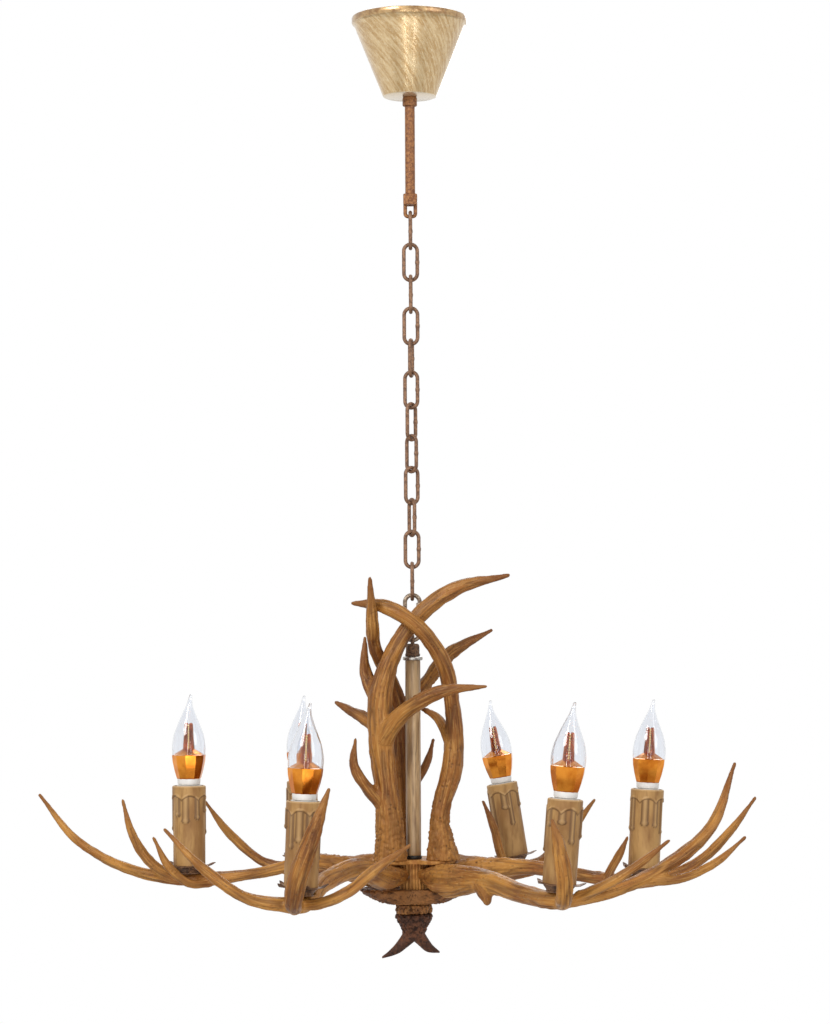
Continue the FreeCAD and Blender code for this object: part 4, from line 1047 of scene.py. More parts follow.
links = link_pattern()
for number, turn in enumerate(LINK_TURNS, start=1):
    height = (FIRST_LINK - LINK_PITCH * (number - 1)) * MM
    made = links.grow(f"chain_link_{number:02d}_wire", Height=height, Turn=math.radians(turn))
    fit(made, f"link_{number:02d}", f"chain_link_{number:02d}")

# %% [markdown]
# ## Screw link
# An oval link with a gap in one leg, bridged by a sleeve nut. The nut runs on a thread, so the leg
# under it has fine ridges: the swept wire's radius goes up and down along it. They show once the
# nut has moved down. The link is one open wire, swept from over the gap all the way round to it.

# %% Screw link and its nut
LINK_MIDDLE, NUT_FOOT = -628.1, -627.6
LINK_WIRE, THREAD_WIRE, THREAD_DEPTH, THREAD_PITCH = 2.25, 2.12, 0.12, 0.8
LEG, HALF_STRAIGHT = 7.75, 16.0
GAP_TOP, GAP_FOOT, THREAD_FOOT = 14.5, 8.5, -8
NUT_HEIGHT, NUT_BORE = 15, 2.6
NUT_LEVELS = (
    (0, 3.3, 0), (0.4, 3.8, 0.3), (1.4, 4.2, 1), (7.5, 4.2, 1), (13.6, 4.2, 1), (14.6, 3.8, 0.3),
    (NUT_HEIGHT, 3.3, 0),
)


def open_oval():
    """The screw link's middle line, from over the gap round to under it."""
    arc = [math.radians(a) for a in range(0, 181, 12)]
    line = [(LEG, 0, GAP_TOP + 0.2)]
    line += [(LEG * math.cos(a), 0, HALF_STRAIGHT + LEG * math.sin(a)) for a in arc]
    line += [(LEG * math.cos(a), 0, -HALF_STRAIGHT - LEG * math.sin(a)) for a in arc[::-1]]
    line += [(LEG, 0, z) for z in np.arange(-HALF_STRAIGHT + 1, GAP_FOOT, 0.22)]
    return np.array(line)


def nut_rings(sides=36):
    """A sleeve nut: six soft flats in the middle, and round ends. Its levels are (height, radius,
    share of the flats)."""
    rows = []
    for level, radius, flat in NUT_LEVELS:
        hexagon = math.cos(math.pi / 6) / np.cos((around(sides) + math.pi / 6) % (math.pi / 3) - math.pi / 6)
        rows.append(circle(radius * (1 - flat + flat * np.minimum(hexagon * 1.03, 1)), level, sides))
    return rows + [circle(NUT_BORE, NUT_HEIGHT, sides), circle(NUT_BORE, 0, sides)]


oval = open_oval()
oval_radii = np.full(len(oval), LINK_WIRE)
thread = (oval[:, 0] == LEG) & (oval[:, 2] > THREAD_FOOT) & (oval[:, 2] < GAP_FOOT)
oval_radii[thread] = THREAD_WIRE + THREAD_DEPTH * np.cos(oval[thread, 2] / THREAD_PITCH * math.tau)
link = Form().add(*tube(oval, oval_radii, 20), Matrix.Translation((0, 0, LINK_MIDDLE)))
build("screw_link_wire", link, metal["screw_link_steel"], 50, "quick_link", "screw_link")
nut = Form().add(*surface(nut_rings(), loop=True), Matrix.Translation((LEG, 0, NUT_FOOT)))
build("screw_link_nut", nut, metal["screw_link_steel"], 30, "quick_link_nut", "screw_link_sleeve")

# %% [markdown]
# ## Stem
# The stem is a tube printed like weathered wood, between a bright washer and a black one. A rough
# iron cap with an eye closes its top. The wood's grain runs up the tube: noise on coordinates
# that are squeezed along z.

# %% Stem finish
def stem_finish():
    finish = Finish("stem_wood", "stem_wood")
    place = finish.place()
    grain = finish.noise(place * (1.0, 1.0, 0.06), 420.0, 5.0, 0.65)
    broad = finish.noise(place * (1.0, 1.0, 0.12), 130.0, 3.0)
    lines = finish.ramp(grain, 0.5, 0.68)
    colour = finish.coats(
        finish.mix(finish.ramp(broad, 0.38, 0.62), (160, 128, 90), (206, 174, 130)),
        (lines * 0.65, (96, 68, 42)),
        (finish.ramp(grain, 0.42, 0.3) * 0.5, (220, 196, 158)),
    )
    return finish.wear(Base_Color=colour, Roughness=0.3 + lines * 0.2, Normal=finish.bump(grain, 0.0004, 0.6))


stem_wood = stem_finish()
print("finish", stem_wood.material.name)

# %% Stem cap, washers and tube
CAP_FOOT, CAP_TOP = -668.85, -655.35
EYE_RADIUS, EYE_MIDDLE = 5.5, -652.9
WASHER_BORE, WASHER_HEIGHT = 4.25, 4.0
STEM_RADIUS, STEM_BORE = 8.0, 6.8
CAP_PROFILE = [
    (0, 0.05), (4.0, 0.05), (7.4, 0.05), (7.8, 0.4), (7.8, 2.6), (7.5, 3.0), (7.15, 3.3), (7.2, 6), (7.1, 10.5),
    (6.6, 12.3), (5.6, 13.2), (4.4, 13.5), (0, 13.5),
]
cap_points, cap_faces = turned(CAP_PROFILE, 48, CAP_FOOT)
rough = 0.35 * swell(cap_points, 2.2, 5) * ease(cap_points[:, 2], CAP_FOOT + 2, CAP_FOOT + 4)
cap_points[:, :2] *= (1 + rough / 7.5)[:, None]
leg = [(0, EYE_RADIUS, CAP_TOP - 1.5), (0, EYE_RADIUS, CAP_TOP + 1), (0, EYE_RADIUS, EYE_MIDDLE)]
bow = [(0, EYE_RADIUS * math.cos(a), EYE_MIDDLE + EYE_RADIUS * math.sin(a)) for a in np.radians(range(12, 180, 12))]
eye = np.array(leg + bow + [(0, -y, z) for _, y, z in reversed(leg)])
cap = Form().add(cap_points, cap_faces).add(*tube(eye, 2.0, 18))
build("stem_cap_and_eye", cap, metal["cap_iron"], 45, "stem_cap")


def washer(name, radius, foot, finish):
    """A flat ring with a rounded rim."""
    rim = [(radius - 1.1, 0), (radius - 0.3, 0.4), (radius, 1.2)]
    profile = [(WASHER_BORE, 0)] + rim + [(r, WASHER_HEIGHT - z) for r, z in reversed(rim)]
    lathe(name, profile + [(WASHER_BORE, WASHER_HEIGHT)], 56, finish, "stem_washers", base=foot)


washer("stem_head_washer", 10.4, CAP_FOOT - WASHER_HEIGHT, metal["washer_steel"])
washer("stem_foot_washer", 8.6, HUB_TOP, metal["black_washer"])

STEM_FOOT, STEM_TOP = HUB_TOP + WASHER_HEIGHT, CAP_FOOT - WASHER_HEIGHT
stem_profile = [(STEM_BORE, STEM_FOOT), (7.7, STEM_FOOT), (STEM_RADIUS, STEM_FOOT + 0.4)]
stem_profile += [(STEM_RADIUS, z) for z in np.linspace(STEM_FOOT + 6, STEM_TOP - 6, 30)]
stem_profile += [(STEM_RADIUS, STEM_TOP - 0.4), (7.7, STEM_TOP), (STEM_BORE, STEM_TOP)]
stem_points, stem_faces = turned(stem_profile, 48)
outside = off_axis(stem_points) > STEM_RADIUS - 0.1
stem_points[outside, :2] *= (1 - 0.02 * np.clip(swell(stem_points[outside], (3, 3, 60), 9), 0, 1))[:, None]
build("stem_tube_grained", Form().add(stem_points, stem_faces), stem_wood, 45, "stem_tube")

# %% [markdown]
# ## Hub
# The hub is cast in one look: a thin disc that the upper antlers stand on, a column with long
# ribs, a rough bowl like a burr round its foot and a ring of pearls below. The column is light
# horn, the bowl and the pearls are darker, the finial is a burnt brown, and the hollows of each
# get painted shade, darker than its ridges.

# %% Hub finishes
def burr_finish(name, light, dark, deep, scale, ribs=False):
    """Bark in three tones. The mark `hollow` paints shade where it is darkest, in its hollows, and the mark `pale`
    says where it is lightest.
    """
    finish = Finish(name, "hub_brown", Specular_IOR_Level=0.25)
    place = finish.place()
    broad = finish.noise(place, scale * 0.35, 3.0)
    lines = finish.noise(place * (1.0, 1.0, 0.09) if ribs else place, scale, 5.0, 0.62)
    hollow = finish.mark("hollow")
    colour = finish.coats(
        finish.mix(finish.ramp(broad, 0.38, 0.62), dark, light),
        (finish.ramp(lines, 0.5, 0.66) * (0.45 if ribs else 0.75), deep),
        (finish.mark("pale") * 0.7, (160, 108, 58)),
        # painted shade in the hollows between the ribs and the pearls
        (hollow * (0.6 if ribs else 0.85), deep),
    )
    relief = lines * 0.5
    if not ribs:
        relief = relief + (1.0 - finish.ramp(finish.cells(place, scale * 0.9), 0.05, 0.5)) * 0.6
    return finish.wear(
        Base_Color=colour, Roughness=0.5 + hollow * 0.25, Normal=finish.bump(relief, 0.0007, 0.8)
    )


column_finish = burr_finish("hub_column", (208, 150, 80), (172, 114, 56), (112, 68, 30), 330.0, True)
bowl_finish = burr_finish("hub_bowl_bark", (146, 94, 50), (92, 54, 28), (36, 18, 9), 230.0)
burr_ring_finish = burr_finish("burr_ring_pearls", (170, 116, 62), (122, 76, 38), (54, 28, 12), 260.0)
finial_finish = burr_finish("finial_bark", (108, 66, 42), (66, 38, 24), (24, 12, 8), 240.0)
print("hub finishes, from light to dark, for column, burr ring, bowl and finial")

# %% [markdown]
# The disc's rim is a little uneven, and its front is drawn in so that the column shows, as in the
# photograph. The column's ribs are cut by a wave round it, which a noise bends as it goes up.

# %% Disc and column
SIDES = 240
DISC_FOOT, COLUMN_FOOT, BOWL_FOOT, BURR_FOOT = (HUB_TOP - depth for depth in (4.0, 31.0, 47.0, 57.0))
DISC_PROFILE = [
    (4.3, -4.0), (41, -4.0), (43.2, -3.5), (43.9, -2.4), (43.7, -1.0), (42.6, -0.2), (41, 0), (4.3, 0),
]
COLUMN_RADIUS, COLUMN_BORE, RIBS, RIB_DEPTH = 15.2, 12, 24, 1.3
DISC_FRONT = 19.0

disc_points, disc_faces = turned(DISC_PROFILE, SIDES, HUB_TOP)
reach = off_axis(disc_points)
edge = reach > 40
disc_points[edge, :2] *= (1 - 0.012 * np.clip(swell(disc_points[edge], 6, 31) + 0.4, 0, 1.4))[:, None]
forward = np.arctan2(disc_points[:, 1], disc_points[:, 0]) + math.pi / 2
front = np.exp(-((forward / 0.5) ** 4)) * (reach > 20)
disc_points[:, :2] *= (1 - front * (1 - DISC_FRONT / np.maximum(reach, DISC_FRONT)))[:, None]

levels = np.linspace(COLUMN_FOOT + 0.02, DISC_FOOT + 0.3, 34)
waist = COLUMN_RADIUS - 0.5 * np.sin(math.pi * (levels - COLUMN_FOOT) / (DISC_FOOT - COLUMN_FOOT))
column_profile = [(COLUMN_BORE, levels[0]), *zip(waist, levels), (COLUMN_BORE, levels[-1])]
column_points, column_faces = turned(column_profile, SIDES)
skin = off_axis(column_points) > COLUMN_BORE + 1
angles = np.arctan2(column_points[:, 1], column_points[:, 0])
ribs = 0.5 + 0.5 * np.cos(angles * RIBS + 1.6 * swell(column_points, (9, 9, 40), 44))
ribs = 0.65 * ribs + 0.35 * np.clip(swell(column_points, (1.9, 1.9, 30), 45), 0, 1)
column_points[skin, :2] *= (1 - (1 - ribs[skin]) * RIB_DEPTH / 15)[:, None]
# hollow is painted shade: darker between the column's ribs, and a little on the disc, more at its rim
hub = Form().add(disc_points, disc_faces, hollow=np.where(edge, 0.2, 0.1))
hub.add(column_points, column_faces, hollow=np.where(skin, np.clip(0.9 - ribs * 1.5, 0, 1), 0))
build("hub_core_carved", hub, column_finish, 50, "hub_core")

# %% [markdown]
# The bowl and the burr ring are turned, then covered with pearls and lumps that stand out from the
# skin. The bowl's rim goes in and out in lobes, and its front is drawn in like the disc's.

# %% Bowl and burr ring
BOWL_PROFILE = [
    (19.6, 0.4), (30, 1.2), (41, 4.4), (50, 8.2), (56, 12), (58, 14.2), (56.4, 15.5), (52, 15.75), (40, 15.8),
    (17, 15.85),
]
RING_PROFILE = [(18.2, 0.2), (18.8, 1.6), (19.6, 4.6), (19.2, 7.0), (19.0, 9.0), (18.6, 9.9)]
BOWL_TOP, BOWL_FRONT = COLUMN_FOOT - 0.15, 17.6


def rough_turning(profile, sides, base, depth, size, seed, keep):
    """A turned form with bark on it: pearls and lumps, and the mask of painted shade in its hollows."""
    rows = smooth_path([(r, 0, base + z) for r, z in profile], 0.9)
    rings = [(max(r, 0.01), z) for r, _, z in rows]
    points, faces = turned([(0, rings[0][1]), *rings, (0, rings[-1][1])], sides)
    bead = np.maximum(pearls(points, size, seed), 0.9 * pearls(points, size * 1.9, seed + 7))
    lift = depth * (bead + 0.3 * swell(points, size * 3, seed + 4) - 0.9)
    lift *= ease(off_axis(points), keep, keep + 4)
    return points + outward(points, faces) * lift[:, None], faces, np.clip(1.0 - bead * 1.5, 0, 1)


# the third value is the mask of painted shade between the pearls
points, faces, hollow = rough_turning(BOWL_PROFILE, 300, BOWL_FOOT, 3.0, 3.8, 71, keep=16)
points[:, 2] = np.minimum(points[:, 2], BOWL_TOP)
azimuth, reach = np.arctan2(points[:, 1], points[:, 0]), off_axis(points)
ways = np.stack([np.cos(azimuth), np.sin(azimuth), azimuth * 0], -1)
lobes = 1 - 0.09 * np.clip(swell(ways * 40, 17, 73), 0, 1) * ease(reach, 21, 34)
front = np.exp(-(((azimuth + math.pi / 2) / 0.72) ** 4))
drawn = np.minimum(reach, BOWL_FRONT + 0.05 * np.maximum(reach - BOWL_FRONT, 0)) / np.maximum(reach, 0.01)
points[:, :2] *= (lobes * (1 - front) + drawn * front)[:, None]
build("hub_bowl_bark", Form().add(points, faces, hollow=hollow, pale=front), bowl_finish, 0, "hub_bowl")

points, faces, hollow = rough_turning(RING_PROFILE, 220, BURR_FOOT, 2.0, 3.1, 83, keep=9)
build("burr_ring_pearled", Form().add(points, faces, hollow=hollow), burr_ring_finish, 0, "burr_ring")

# %% [markdown]
# ## Finial
# A dark, rough knob closes the hub, and two small horns cross under it. The knob and the horns
# are remeshed to one skin like the antlers, pearled on the knob and grooved on the horns.

# %% Finial
FINIAL_SPIKES = (
    ((4, 0, -15, 9.5), (-6, -3, -25, 7.5), (-18, -5, -37, 5), (-33, -6, -45, 1.5)),
    ((-4, 0, -15, 9.5), (6, 3, -26, 7), (16, 5, -37, 5), (26, 6, -41, 1.5)),
)
KNOB_PROFILE = [
    (0, -23), (6, -22), (11.4, -19), (13.4, -14.5), (15.6, -10.5), (18.9, -5.2), (19.4, -3.2), (18.4, -0.9),
    (17.4, -0.2), (0, -0.2),
]
FINE_VOXEL, FINE_STEP = 0.75, 2.0
knob = Form().add(*turned(KNOB_PROFILE, 60, BURR_FOOT))
spikes = sweep_branches(knob, FINIAL_SPIKES, BURR_FOOT, FINE_STEP, thinnest=0.0)
points, faces = one_skin(knob, FINE_VOXEL, rounds=4)
_, grain, *_ = branch_places(points, spikes)
on_knob = ease(points[:, 2], BURR_FOOT - 27, BURR_FOOT - 16)
bead = pearls(points, 3.3, 95)
lift = on_knob * (2.0 * bead - 1.0) - (1 - on_knob) * 0.5 * creases(grain, (2.4, 2.4, 30), 97, 2.4)
lift *= points[:, 2] < BURR_FOOT - 0.6
points = points + outward(points, faces) * lift[:, None]
# painted shade between the knob's pearls
finial = Form().add(points, faces, hollow=on_knob * np.clip(0.8 - bead * 1.3, 0, 1))
build("finial_carved", finial, finial_finish, 0, "finial")

# %% [markdown]
# ## Light stacks
# On every lower antler stands a small turned cup, a leaf-edged drip tray and a hollow candle with
# wax running down it. One frame per light places them, so the six leans are the CAD's own.

# %% Cups and trays
CUP_TOP, TRAY_TOP, LIGHT_TOP = 7.5, 9.0, 92.0
LEAVES, TRAY_LEVELS = 5, 22
CUP_PROFILE = [
    (0, 0.02), (12.0, 0.02), (12.5, 0.4), (12.7, 1.3), (12.2, 2.0), (12.9, 3.2), (14.4, 5.0), (15.2, 6.0),
    (15.5, 6.8), (15.3, 7.3), (14.6, 7.48), (0, 7.48),
]
light_frames = [light_frame(data) for data in LOWER_ANTLERS.values()]


def leaf_tray(seed, sides=160):
    """A saucer whose edge is five curled leaf tips: rings that grow from round to leafy."""
    angles = around(sides)
    wave = np.abs(((angles * LEAVES / math.tau) % 1) - 0.5) * 2
    tip = wave**2.2
    edge = 19.8 + 7.0 * tip + 0.5 * np.cos(angles * 10 + seed)
    veins = 0.35 * np.clip(1 - np.abs(wave - 1) * 9, 0, 1)
    curl = 1.0 + 0.35 * math.sin(seed * 2.1)
    lower, upper = [], []
    for share in np.arange(TRAY_LEVELS) / (TRAY_LEVELS - 1):
        reach = 4.0 + (edge - 4.0) * share
        outer = ease(reach, 17.4, 26.8)
        height = CUP_TOP + 0.03 + outer * (0.4 + 3.4 * tip) * curl * 0.8 + 0.25 * outer * np.cos(angles * 15 + seed)
        lower.append(circle(reach, height, sides))
        thick = 1.35 - 0.8 * ease(share, 0.75, 1.0) + veins * ease(share, 0.3, 0.6) * 0.6
        upper.append(circle(reach, np.where(reach < 17.2, TRAY_TOP - 0.02, height + thick), sides))
    return surface(lower + upper[::-1], (0, 0, CUP_TOP + 0.03), (0, 0, TRAY_TOP - 0.02))


cups, trays = Form(), Form()
for number, seat in enumerate(light_frames):
    cups.add(*turned(CUP_PROFILE, 48), seat)
    trays.add(*leaf_tray(number), seat)
build("tray_cups_turned", cups, bronze, 30, "tray_cups")
build("drip_trays_leafed", trays, bronze, 45, "drip_trays")

# %% [markdown]
# The sleeve looks like an old candle: a scalloped skirt of wax at its top and runs that end in
# drops. The wax is lifted from the sleeve in the mesh, and marks tell the finish where it runs.
# The mark `edge` is painted shade: a dark line where the skirt ends and along the sides of the runs.

# %% Wax finish
def wax_finish():
    finish = Finish("candle_wax", "candle_wax", Specular_IOR_Level=0.4)
    place = finish.place()
    broad = finish.ramp(finish.noise(place * (1.0, 1.0, 0.35), 60.0, 3.0), 0.35, 0.65)
    fine = finish.noise(place * (1.0, 1.0, 0.18), 260.0, 4.0, 0.6)
    colour = finish.coats(
        finish.mix(broad, (184, 142, 86), (148, 106, 58)),
        (finish.ramp(fine, 0.5, 0.7) * 0.4, (118, 78, 40)),
        (finish.mark("run") * 0.5, (206, 166, 112)),
        # painted shade: a dark line under the skirt and along the sides of the runs
        (finish.mark("edge") * 0.9, (84, 54, 28)),
        (finish.mark("top") * 0.6, (214, 184, 136)),
    )
    return finish.wear(Base_Color=colour, Roughness=0.42 + fine * 0.2, Normal=finish.bump(fine, 0.0005, 0.6))


wax = wax_finish()
print("finish", wax.material.name)

# %% Candle sleeves
SLEEVE_RADIUS, SLEEVE_BORE = 16.75, 15.15
SKIRT, RUNS = 14.5, 9


def candle(seed, sides=132):
    """One sleeve, with the marks of its wax."""
    luck = np.random.default_rng(seed)
    angles = around(sides)
    scallop = np.abs(np.sin((angles + 0.3 * seed) * 3))
    skirt = LIGHT_TOP - SKIRT + 5.0 * scallop**0.8 + luck.uniform(-0.8, 0.8)
    runs = []
    for k in range(RUNS):
        centre = (k + luck.uniform(0.2, 0.8)) * math.tau / RUNS
        runs.append((centre, LIGHT_TOP - luck.uniform(20, 58), luck.uniform(2.4, 4.0), luck.uniform(0.9, 1.7)))
    rows, marks, blank = [], [], np.zeros(sides)
    for level in (*np.linspace(TRAY_TOP + 0.02, 60, 34), *np.linspace(61, 91.2, 48)):
        flow = blank
        for centre, foot, width, thick in runs:
            away = np.abs((angles - centre + math.pi) % math.tau - math.pi) * SLEEVE_RADIUS
            stream = np.clip(1 - (away / width) ** 2, 0, 1) ** 0.8
            stream = stream * ease(level, foot - 0.5, foot + 1.5) * (level < skirt + 2)
            drop = np.clip(1 - ((away / (width * 1.15)) ** 2 + ((level - foot - 1.6) / 2.8) ** 2), 0, 1) ** 0.5
            flow = np.maximum(flow, np.maximum(stream * thick, drop * (thick + 0.5)))
        lift = 0.8 * ease(level - skirt, -0.5, 0.5) + 0.45 * np.exp(-(((level - skirt - 0.7) / 0.9) ** 2))
        chamfer = 1.1 * ease(level, LIGHT_TOP - 1.8, LIGHT_TOP - 0.4)
        rows.append(circle(SLEEVE_RADIUS - 0.12 + np.maximum(lift, flow) - chamfer, level, sides))
        # painted shade: a dark line just under the skirt's lip, and along the steep sides of the runs below it
        line = np.exp(-(((level - skirt + 0.9) / 0.65) ** 2))
        run_side_shade = np.clip(np.abs(np.gradient(flow)) * 2.2, 0, 0.8) * (level < skirt)
        top = blank + ease(level, LIGHT_TOP - 2.2, LIGHT_TOP - 1.0)
        marks.append((np.maximum(line, run_side_shade), np.clip(flow, 0, 1), top))
    mouth = ((SLEEVE_BORE + 0.3, LIGHT_TOP - 0.6, 1), (SLEEVE_BORE, LIGHT_TOP - 1.0, 0))
    for radius, level, top in (*mouth, (SLEEVE_BORE, TRAY_TOP + 0.02, 0)):
        rows.append(circle(radius, level, sides))
        marks.append((blank, blank, blank + top))
    edge, run, top = (np.concatenate(rings) for rings in zip(*marks))
    return surface(rows, loop=True), {"edge": edge, "run": run, "top": top}


candles = Form()
for number, seat in enumerate(light_frames):
    shape, marks = candle(number + 3)
    candles.add(*shape, seat, **marks)
build("candle_sleeves_waxed", candles, wax, 60, "candle_sleeves")

# %% [markdown]
# ## Flame bulbs
# Each bulb lifts out as one body: a threaded cap, a white ring, a faceted copper-gold cup, a
# rose-gold mast with columns of tiny lamps, and a clear glass flame with a bent tail. The glass is
# a real shell with two walls, so that it refracts at its edges only.

# %% Bulb finishes
def plain_finish(name, slot, tone, other, scale, **constants):
    """A nearly even finish: two close tones by a soft noise."""
    finish = Finish(name, slot, **constants)
    soft = finish.noise(finish.place(), scale, 3.0)
    return finish.wear(Base_Color=finish.mix(finish.ramp(soft, 0.35, 0.65), tone, other))


def bulb_finish(name, tone, other, scale, metallic, roughness):
    return plain_finish(name, "bulb_copper", tone, other, scale, Metallic=metallic, Roughness=roughness)


def glass_finish():
    """Clear glass with painted shade where it is seen edge on: greyer there, a little for the longer way through it
    and mostly for the dark rims that bent light gives.
    """
    finish = Finish("flame_glass", "bulb_glass", Roughness=0.0, IOR=1.45, Transmission_Weight=1.0)
    edge_on_shade = finish.add("ShaderNodeLayerWeight", {}, {"Blend": 0.35}, output="Facing")
    soft = finish.noise(finish.place(), 40.0, 2.0)
    clear = finish.mix(soft, (0.88, 0.9, 0.93, 1.0), (0.91, 0.92, 0.95, 1.0))
    # painted shade: the glass greyer where it is seen edge on
    return finish.wear(Base_Color=finish.mix(finish.ramp(edge_on_shade, 0.45, 0.95), clear, (0.42, 0.45, 0.5, 1.0)))


cap_nickel = bulb_finish("bulb_cap_nickel", (206, 202, 194), (176, 172, 164), 150.0, 0.95, 0.24)
ring_white = bulb_finish("bulb_ring_white", (240, 238, 234), (228, 226, 222), 80.0, 0.0, 0.3)
copper = bulb_finish("bulb_copper_gold", (228, 146, 54), (196, 112, 34), 60.0, 1.0, 0.18)
rose_gold = bulb_finish("mast_rose_gold", (206, 124, 80), (158, 88, 52), 110.0, 0.9, 0.26)
lamp_yellow = bulb_finish("mast_lamps", (255, 244, 190), (250, 230, 150), 300.0, 0.0, 0.35)
glass = glass_finish()
print("6 bulb finishes")

# %% [markdown]
# The cap's thread is a helix: a ring's radius goes up and down round it, in step with its height.
# The cup has few sides and sharp edges, so its facets show. The flame's outline is a smooth curve,
# and its rings slide sideways near the top, where the tail bends.

# %% Cap, cup, mast and glass
RING_FOOT = LIGHT_TOP + 0.3
RING_TOP = RING_FOOT + 6.3
GLASS_FOOT = RING_TOP + 25.0
LAMPS_FOOT = GLASS_FOOT + 5.2
THREAD_LOW, THREAD_HIGH, CAP_PITCH = -20.2, -3.0, 2.6
FACETS = 10
GLASS_WALL, GLASS_RADIUS, GLASS_HEIGHT, TAIL_BEND = 0.9, 17.4, 62.5, 2.5
WHITE_PROFILE = [
    (0, 0.05), (10.6, 0.05), (11.4, 0.4), (11.7, 1.2), (11.9, 3.2), (12.0, 5.8), (11.6, 6.28), (0, 6.28),
]
CUP_LEVELS = (
    (-0.2, 11.2), (0, 12.3), (0.6, 12.7), (9, 15.1), (18, 17.0), (23.6, 17.5), (24.5, 17.45), (24.9, 16.2),
    (25.3, 15.6), (28, 11), (30.6, 6.6),
)
POST_PROFILE = [(0, 3.4), (3.1, 3.4), (2.6, 30.4), (1.4, 31.4), (0, 31.6)]
BLADE_LEVELS = ((3.5, 2.4, 7.4), (18, 2.2, 6.2), (31, 2.0, 5.1), (32.6, 2.0, 4.2))
BLADE_HALF = 0.75
FLAME_OUTLINE = (
    (0.985, 0, 0), (1.0, 0, 0.12), (0.91, 0, 0.3), (0.66, 0, 0.5), (0.36, 0, 0.7), (0.16, 0, 0.85), (0.075, 0, 0.985),
)


def threaded_cap(sides=40):
    """The screw cap: a rolled thread, and a contact below."""
    below = ((2.2, -24.0), (2.4, -23.4), (4.6, -22.6), (5.6, -21.2), (6.2, -20.6))
    rows = [circle(r, RING_FOOT + z, sides) for r, z in below]
    for level in np.arange(THREAD_LOW, THREAD_HIGH, 0.32):
        fade = min(1.0, (level - THREAD_LOW) / 2, (THREAD_HIGH - level) / 2)
        reach = 6.45 + 0.4 * fade * np.cos((level / CAP_PITCH) * math.tau - around(sides))
        rows.append(circle(reach, RING_FOOT + level, sides))
    rows += [circle(r, RING_FOOT + z, sides) for r, z in ((6.5, -2.8), (6.7, -1.2), (6.8, 0.3))]
    return surface(rows, (0, 0, RING_FOOT - 24.0), (0, 0, RING_FOOT + 0.3))


def faceted_cup():
    """Flat facets that swell to a lip, and a low cone up to the mast inside the glass."""
    rows = [circle(r, RING_TOP + z, FACETS, 0.2) for z, r in CUP_LEVELS]
    return surface(rows, (0, 0, RING_TOP - 0.2), (0, 0, GLASS_FOOT + 6.2))


def mast():
    """A tapered post with four upright boards. Their levels are (height, inside, outside)."""
    rows = []
    for level, inside, outside in BLADE_LEVELS:
        corners = ((inside, -1), (outside, -1), (outside, 1), (inside, 1))
        rows.append(np.array([(x, BLADE_HALF * side, GLASS_FOOT + level) for x, side in corners]))
    form = Form()
    for k in range(4):
        turn = Matrix.Rotation(k * math.pi / 2 + math.pi / 4, 4, "Z")
        form.add(*surface(rows, rows[0].mean(0), rows[-1].mean(0)), turn)
    form.add(*turned(POST_PROFILE, 8, GLASS_FOOT))
    return np.vstack(form.points), form.faces


def flame_rings(pairs):
    """Rings of the flame at (radius, share of the height), bent where its tail is."""
    rings = []
    for radius, share in pairs:
        ring = circle(radius, GLASS_FOOT + GLASS_HEIGHT * share, 56)
        ring[:, 0] += TAIL_BEND * max(0.0, (share - 0.55) / 0.45) ** 2
        rings.append(ring)
    return rings


def flame_shell():
    """The flame's outer wall and, joined at its foot, the inner one."""
    outer = [(GLASS_RADIUS * radius, share) for radius, _, share in smooth_path(FLAME_OUTLINE, 0.022)]
    inner = [(radius - GLASS_WALL, share) for radius, share in outer if radius - GLASS_WALL > 0.9]
    inner[0] = (inner[0][0], 0.002)
    outside, inside = flame_rings(outer + [(0.9, 0.995)]), flame_rings(inner)
    tail = outside[-1].mean(0) + np.array([0.1, 0, 0.25])
    return surface(inside[::-1] + outside, inside[-1].mean(0) + np.array([0, 0, 0.6]), tail)


# %% [markdown]
# The tiny lamps repeat, so Geometry Nodes place them: a column of domes along a line that leans
# in with the mast, and that column turned round by fours.

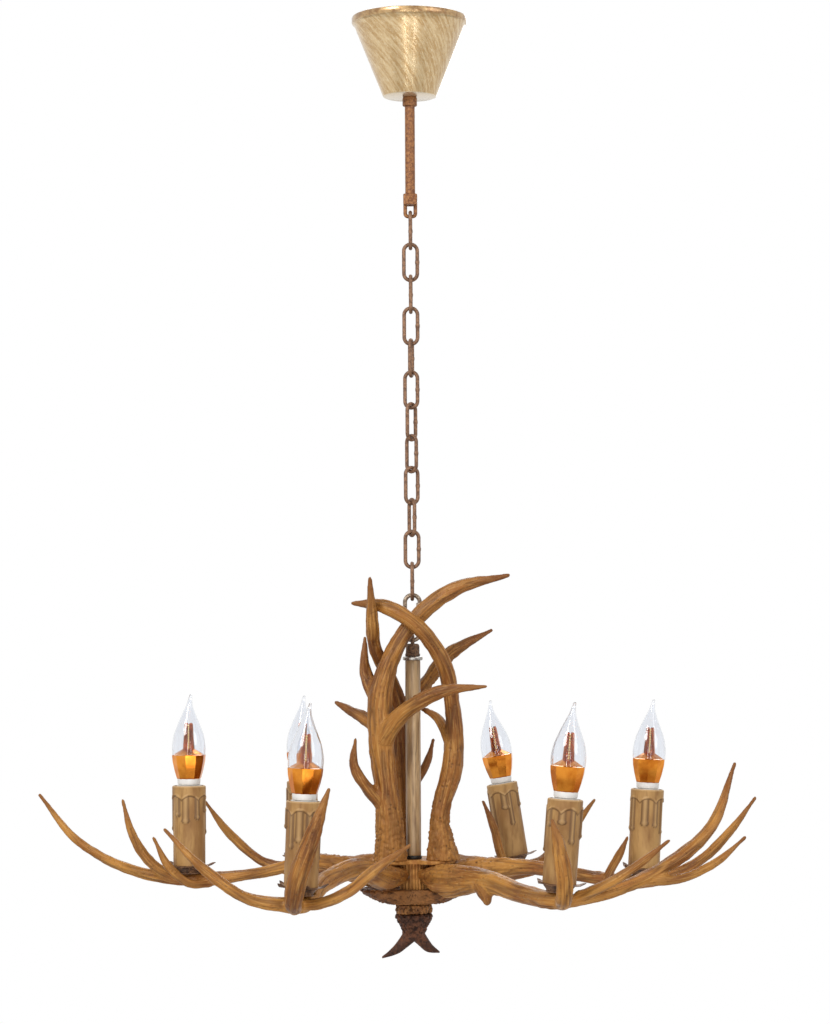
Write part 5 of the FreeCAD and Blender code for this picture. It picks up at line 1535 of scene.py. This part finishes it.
# %% Mast lamps and the six bulbs
def lamp_pattern():
    """Columns of tiny lamps up the sides of a mast. Sizes are in metres."""
    pattern = Pattern("mast_lamps", Reach=0.0031, Foot=0.0, Rise=0.025, Count=11)
    reach, foot = pattern.given("Reach"), pattern.given("Foot")
    start = pattern.add("ShaderNodeCombineXYZ", {}, {0: reach, 2: foot})
    end = pattern.add("ShaderNodeCombineXYZ", {}, {0: reach * 0.84, 2: foot + pattern.given("Rise")})
    line = pattern.add("GeometryNodeCurvePrimitiveLine", {}, {"Start": start, "End": end})
    spots = pattern.add("GeometryNodeCurveToPoints", {}, {"Curve": line, "Count": pattern.given("Count")})
    dome = pattern.add("GeometryNodeMeshIcoSphere", {}, {"Radius": 0.001, "Subdivisions": 2})
    column = pattern.add("GeometryNodeInstanceOnPoints", {}, {"Points": spots, "Instance": dome})
    fours = pattern.add("GeometryNodePoints", {}, {"Count": 4})
    quarter = pattern.add("GeometryNodeInputIndex") * (math.pi / 2)
    turn = pattern.add("ShaderNodeCombineXYZ", {}, {2: quarter})
    placed = {"Points": fours, "Instance": column, "Rotation": turn}
    return pattern.ends(pattern.add("GeometryNodeInstanceOnPoints", {}, placed), lamp_yellow)


lamps = lamp_pattern()
BULB_SHAPES = {
    "cap": (threaded_cap(), cap_nickel, 50),
    "ring": (turned(WHITE_PROFILE, 48, RING_FOOT), ring_white, 30),
    "cup": (faceted_cup(), copper, 8),
    "mast": (mast(), rose_gold, 30),
}
for number, seat in enumerate(light_frames, start=1):
    body, base = f"bulb_{number}", f"bulb_base_{number}"
    for part, (shape, finish, crease) in BULB_SHAPES.items():
        build(f"bulb_{part}_{number}", Form().add(*shape, seat), finish, crease, base, body)
    dots = lamps.grow(f"bulb_lamps_{number}", Foot=LAMPS_FOOT * MM)
    dots.data.transform(Matrix.LocRotScale(seat.translation * MM, seat.to_quaternion(), None))
    fit(dots, base, body)
    build(f"bulb_flame_{number}", Form().add(*flame_shell(), seat), glass, 60, f"bulb_glass_{number}", body)

# %% [markdown]
# ## Pieces that stay as the CAD made them
# The ceiling bar and what is screwed to it, the lamp holders inside the candles and the rod that
# ties the hub together keep their CAD shapes, because little of them shows. They only get
# finishes: zinc, brass, white plastic and plain steel.

# %% Finishes for the CAD's own pieces
plastic = plain_finish("holder_plastic", None, (232, 228, 220), (218, 214, 206), 90.0, Roughness=0.42)
zinc, brass, steel = (metal[name] for name in ("bar_zinc_plate", "earth_brass_plate", "inner_steel_plate"))
screw = metal["dark_screw"]
KEPT = {
    "crossbar": zinc, "earth_screw": brass, "terminal_block": plastic, "rod_lock_nut": zinc, "tie_rod": steel,
    "hub_nut": zinc, "antler_screws": steel, "candle_nipples": brass, "lamp_holders": plastic,
    "collar_set_screw": screw, "loop_set_screw": screw,
}
for node, finish in KEPT.items():
    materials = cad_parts[node].data.materials
    materials.clear()
    materials.append(finish.material)
print(len(KEPT), "CAD nodes finished")
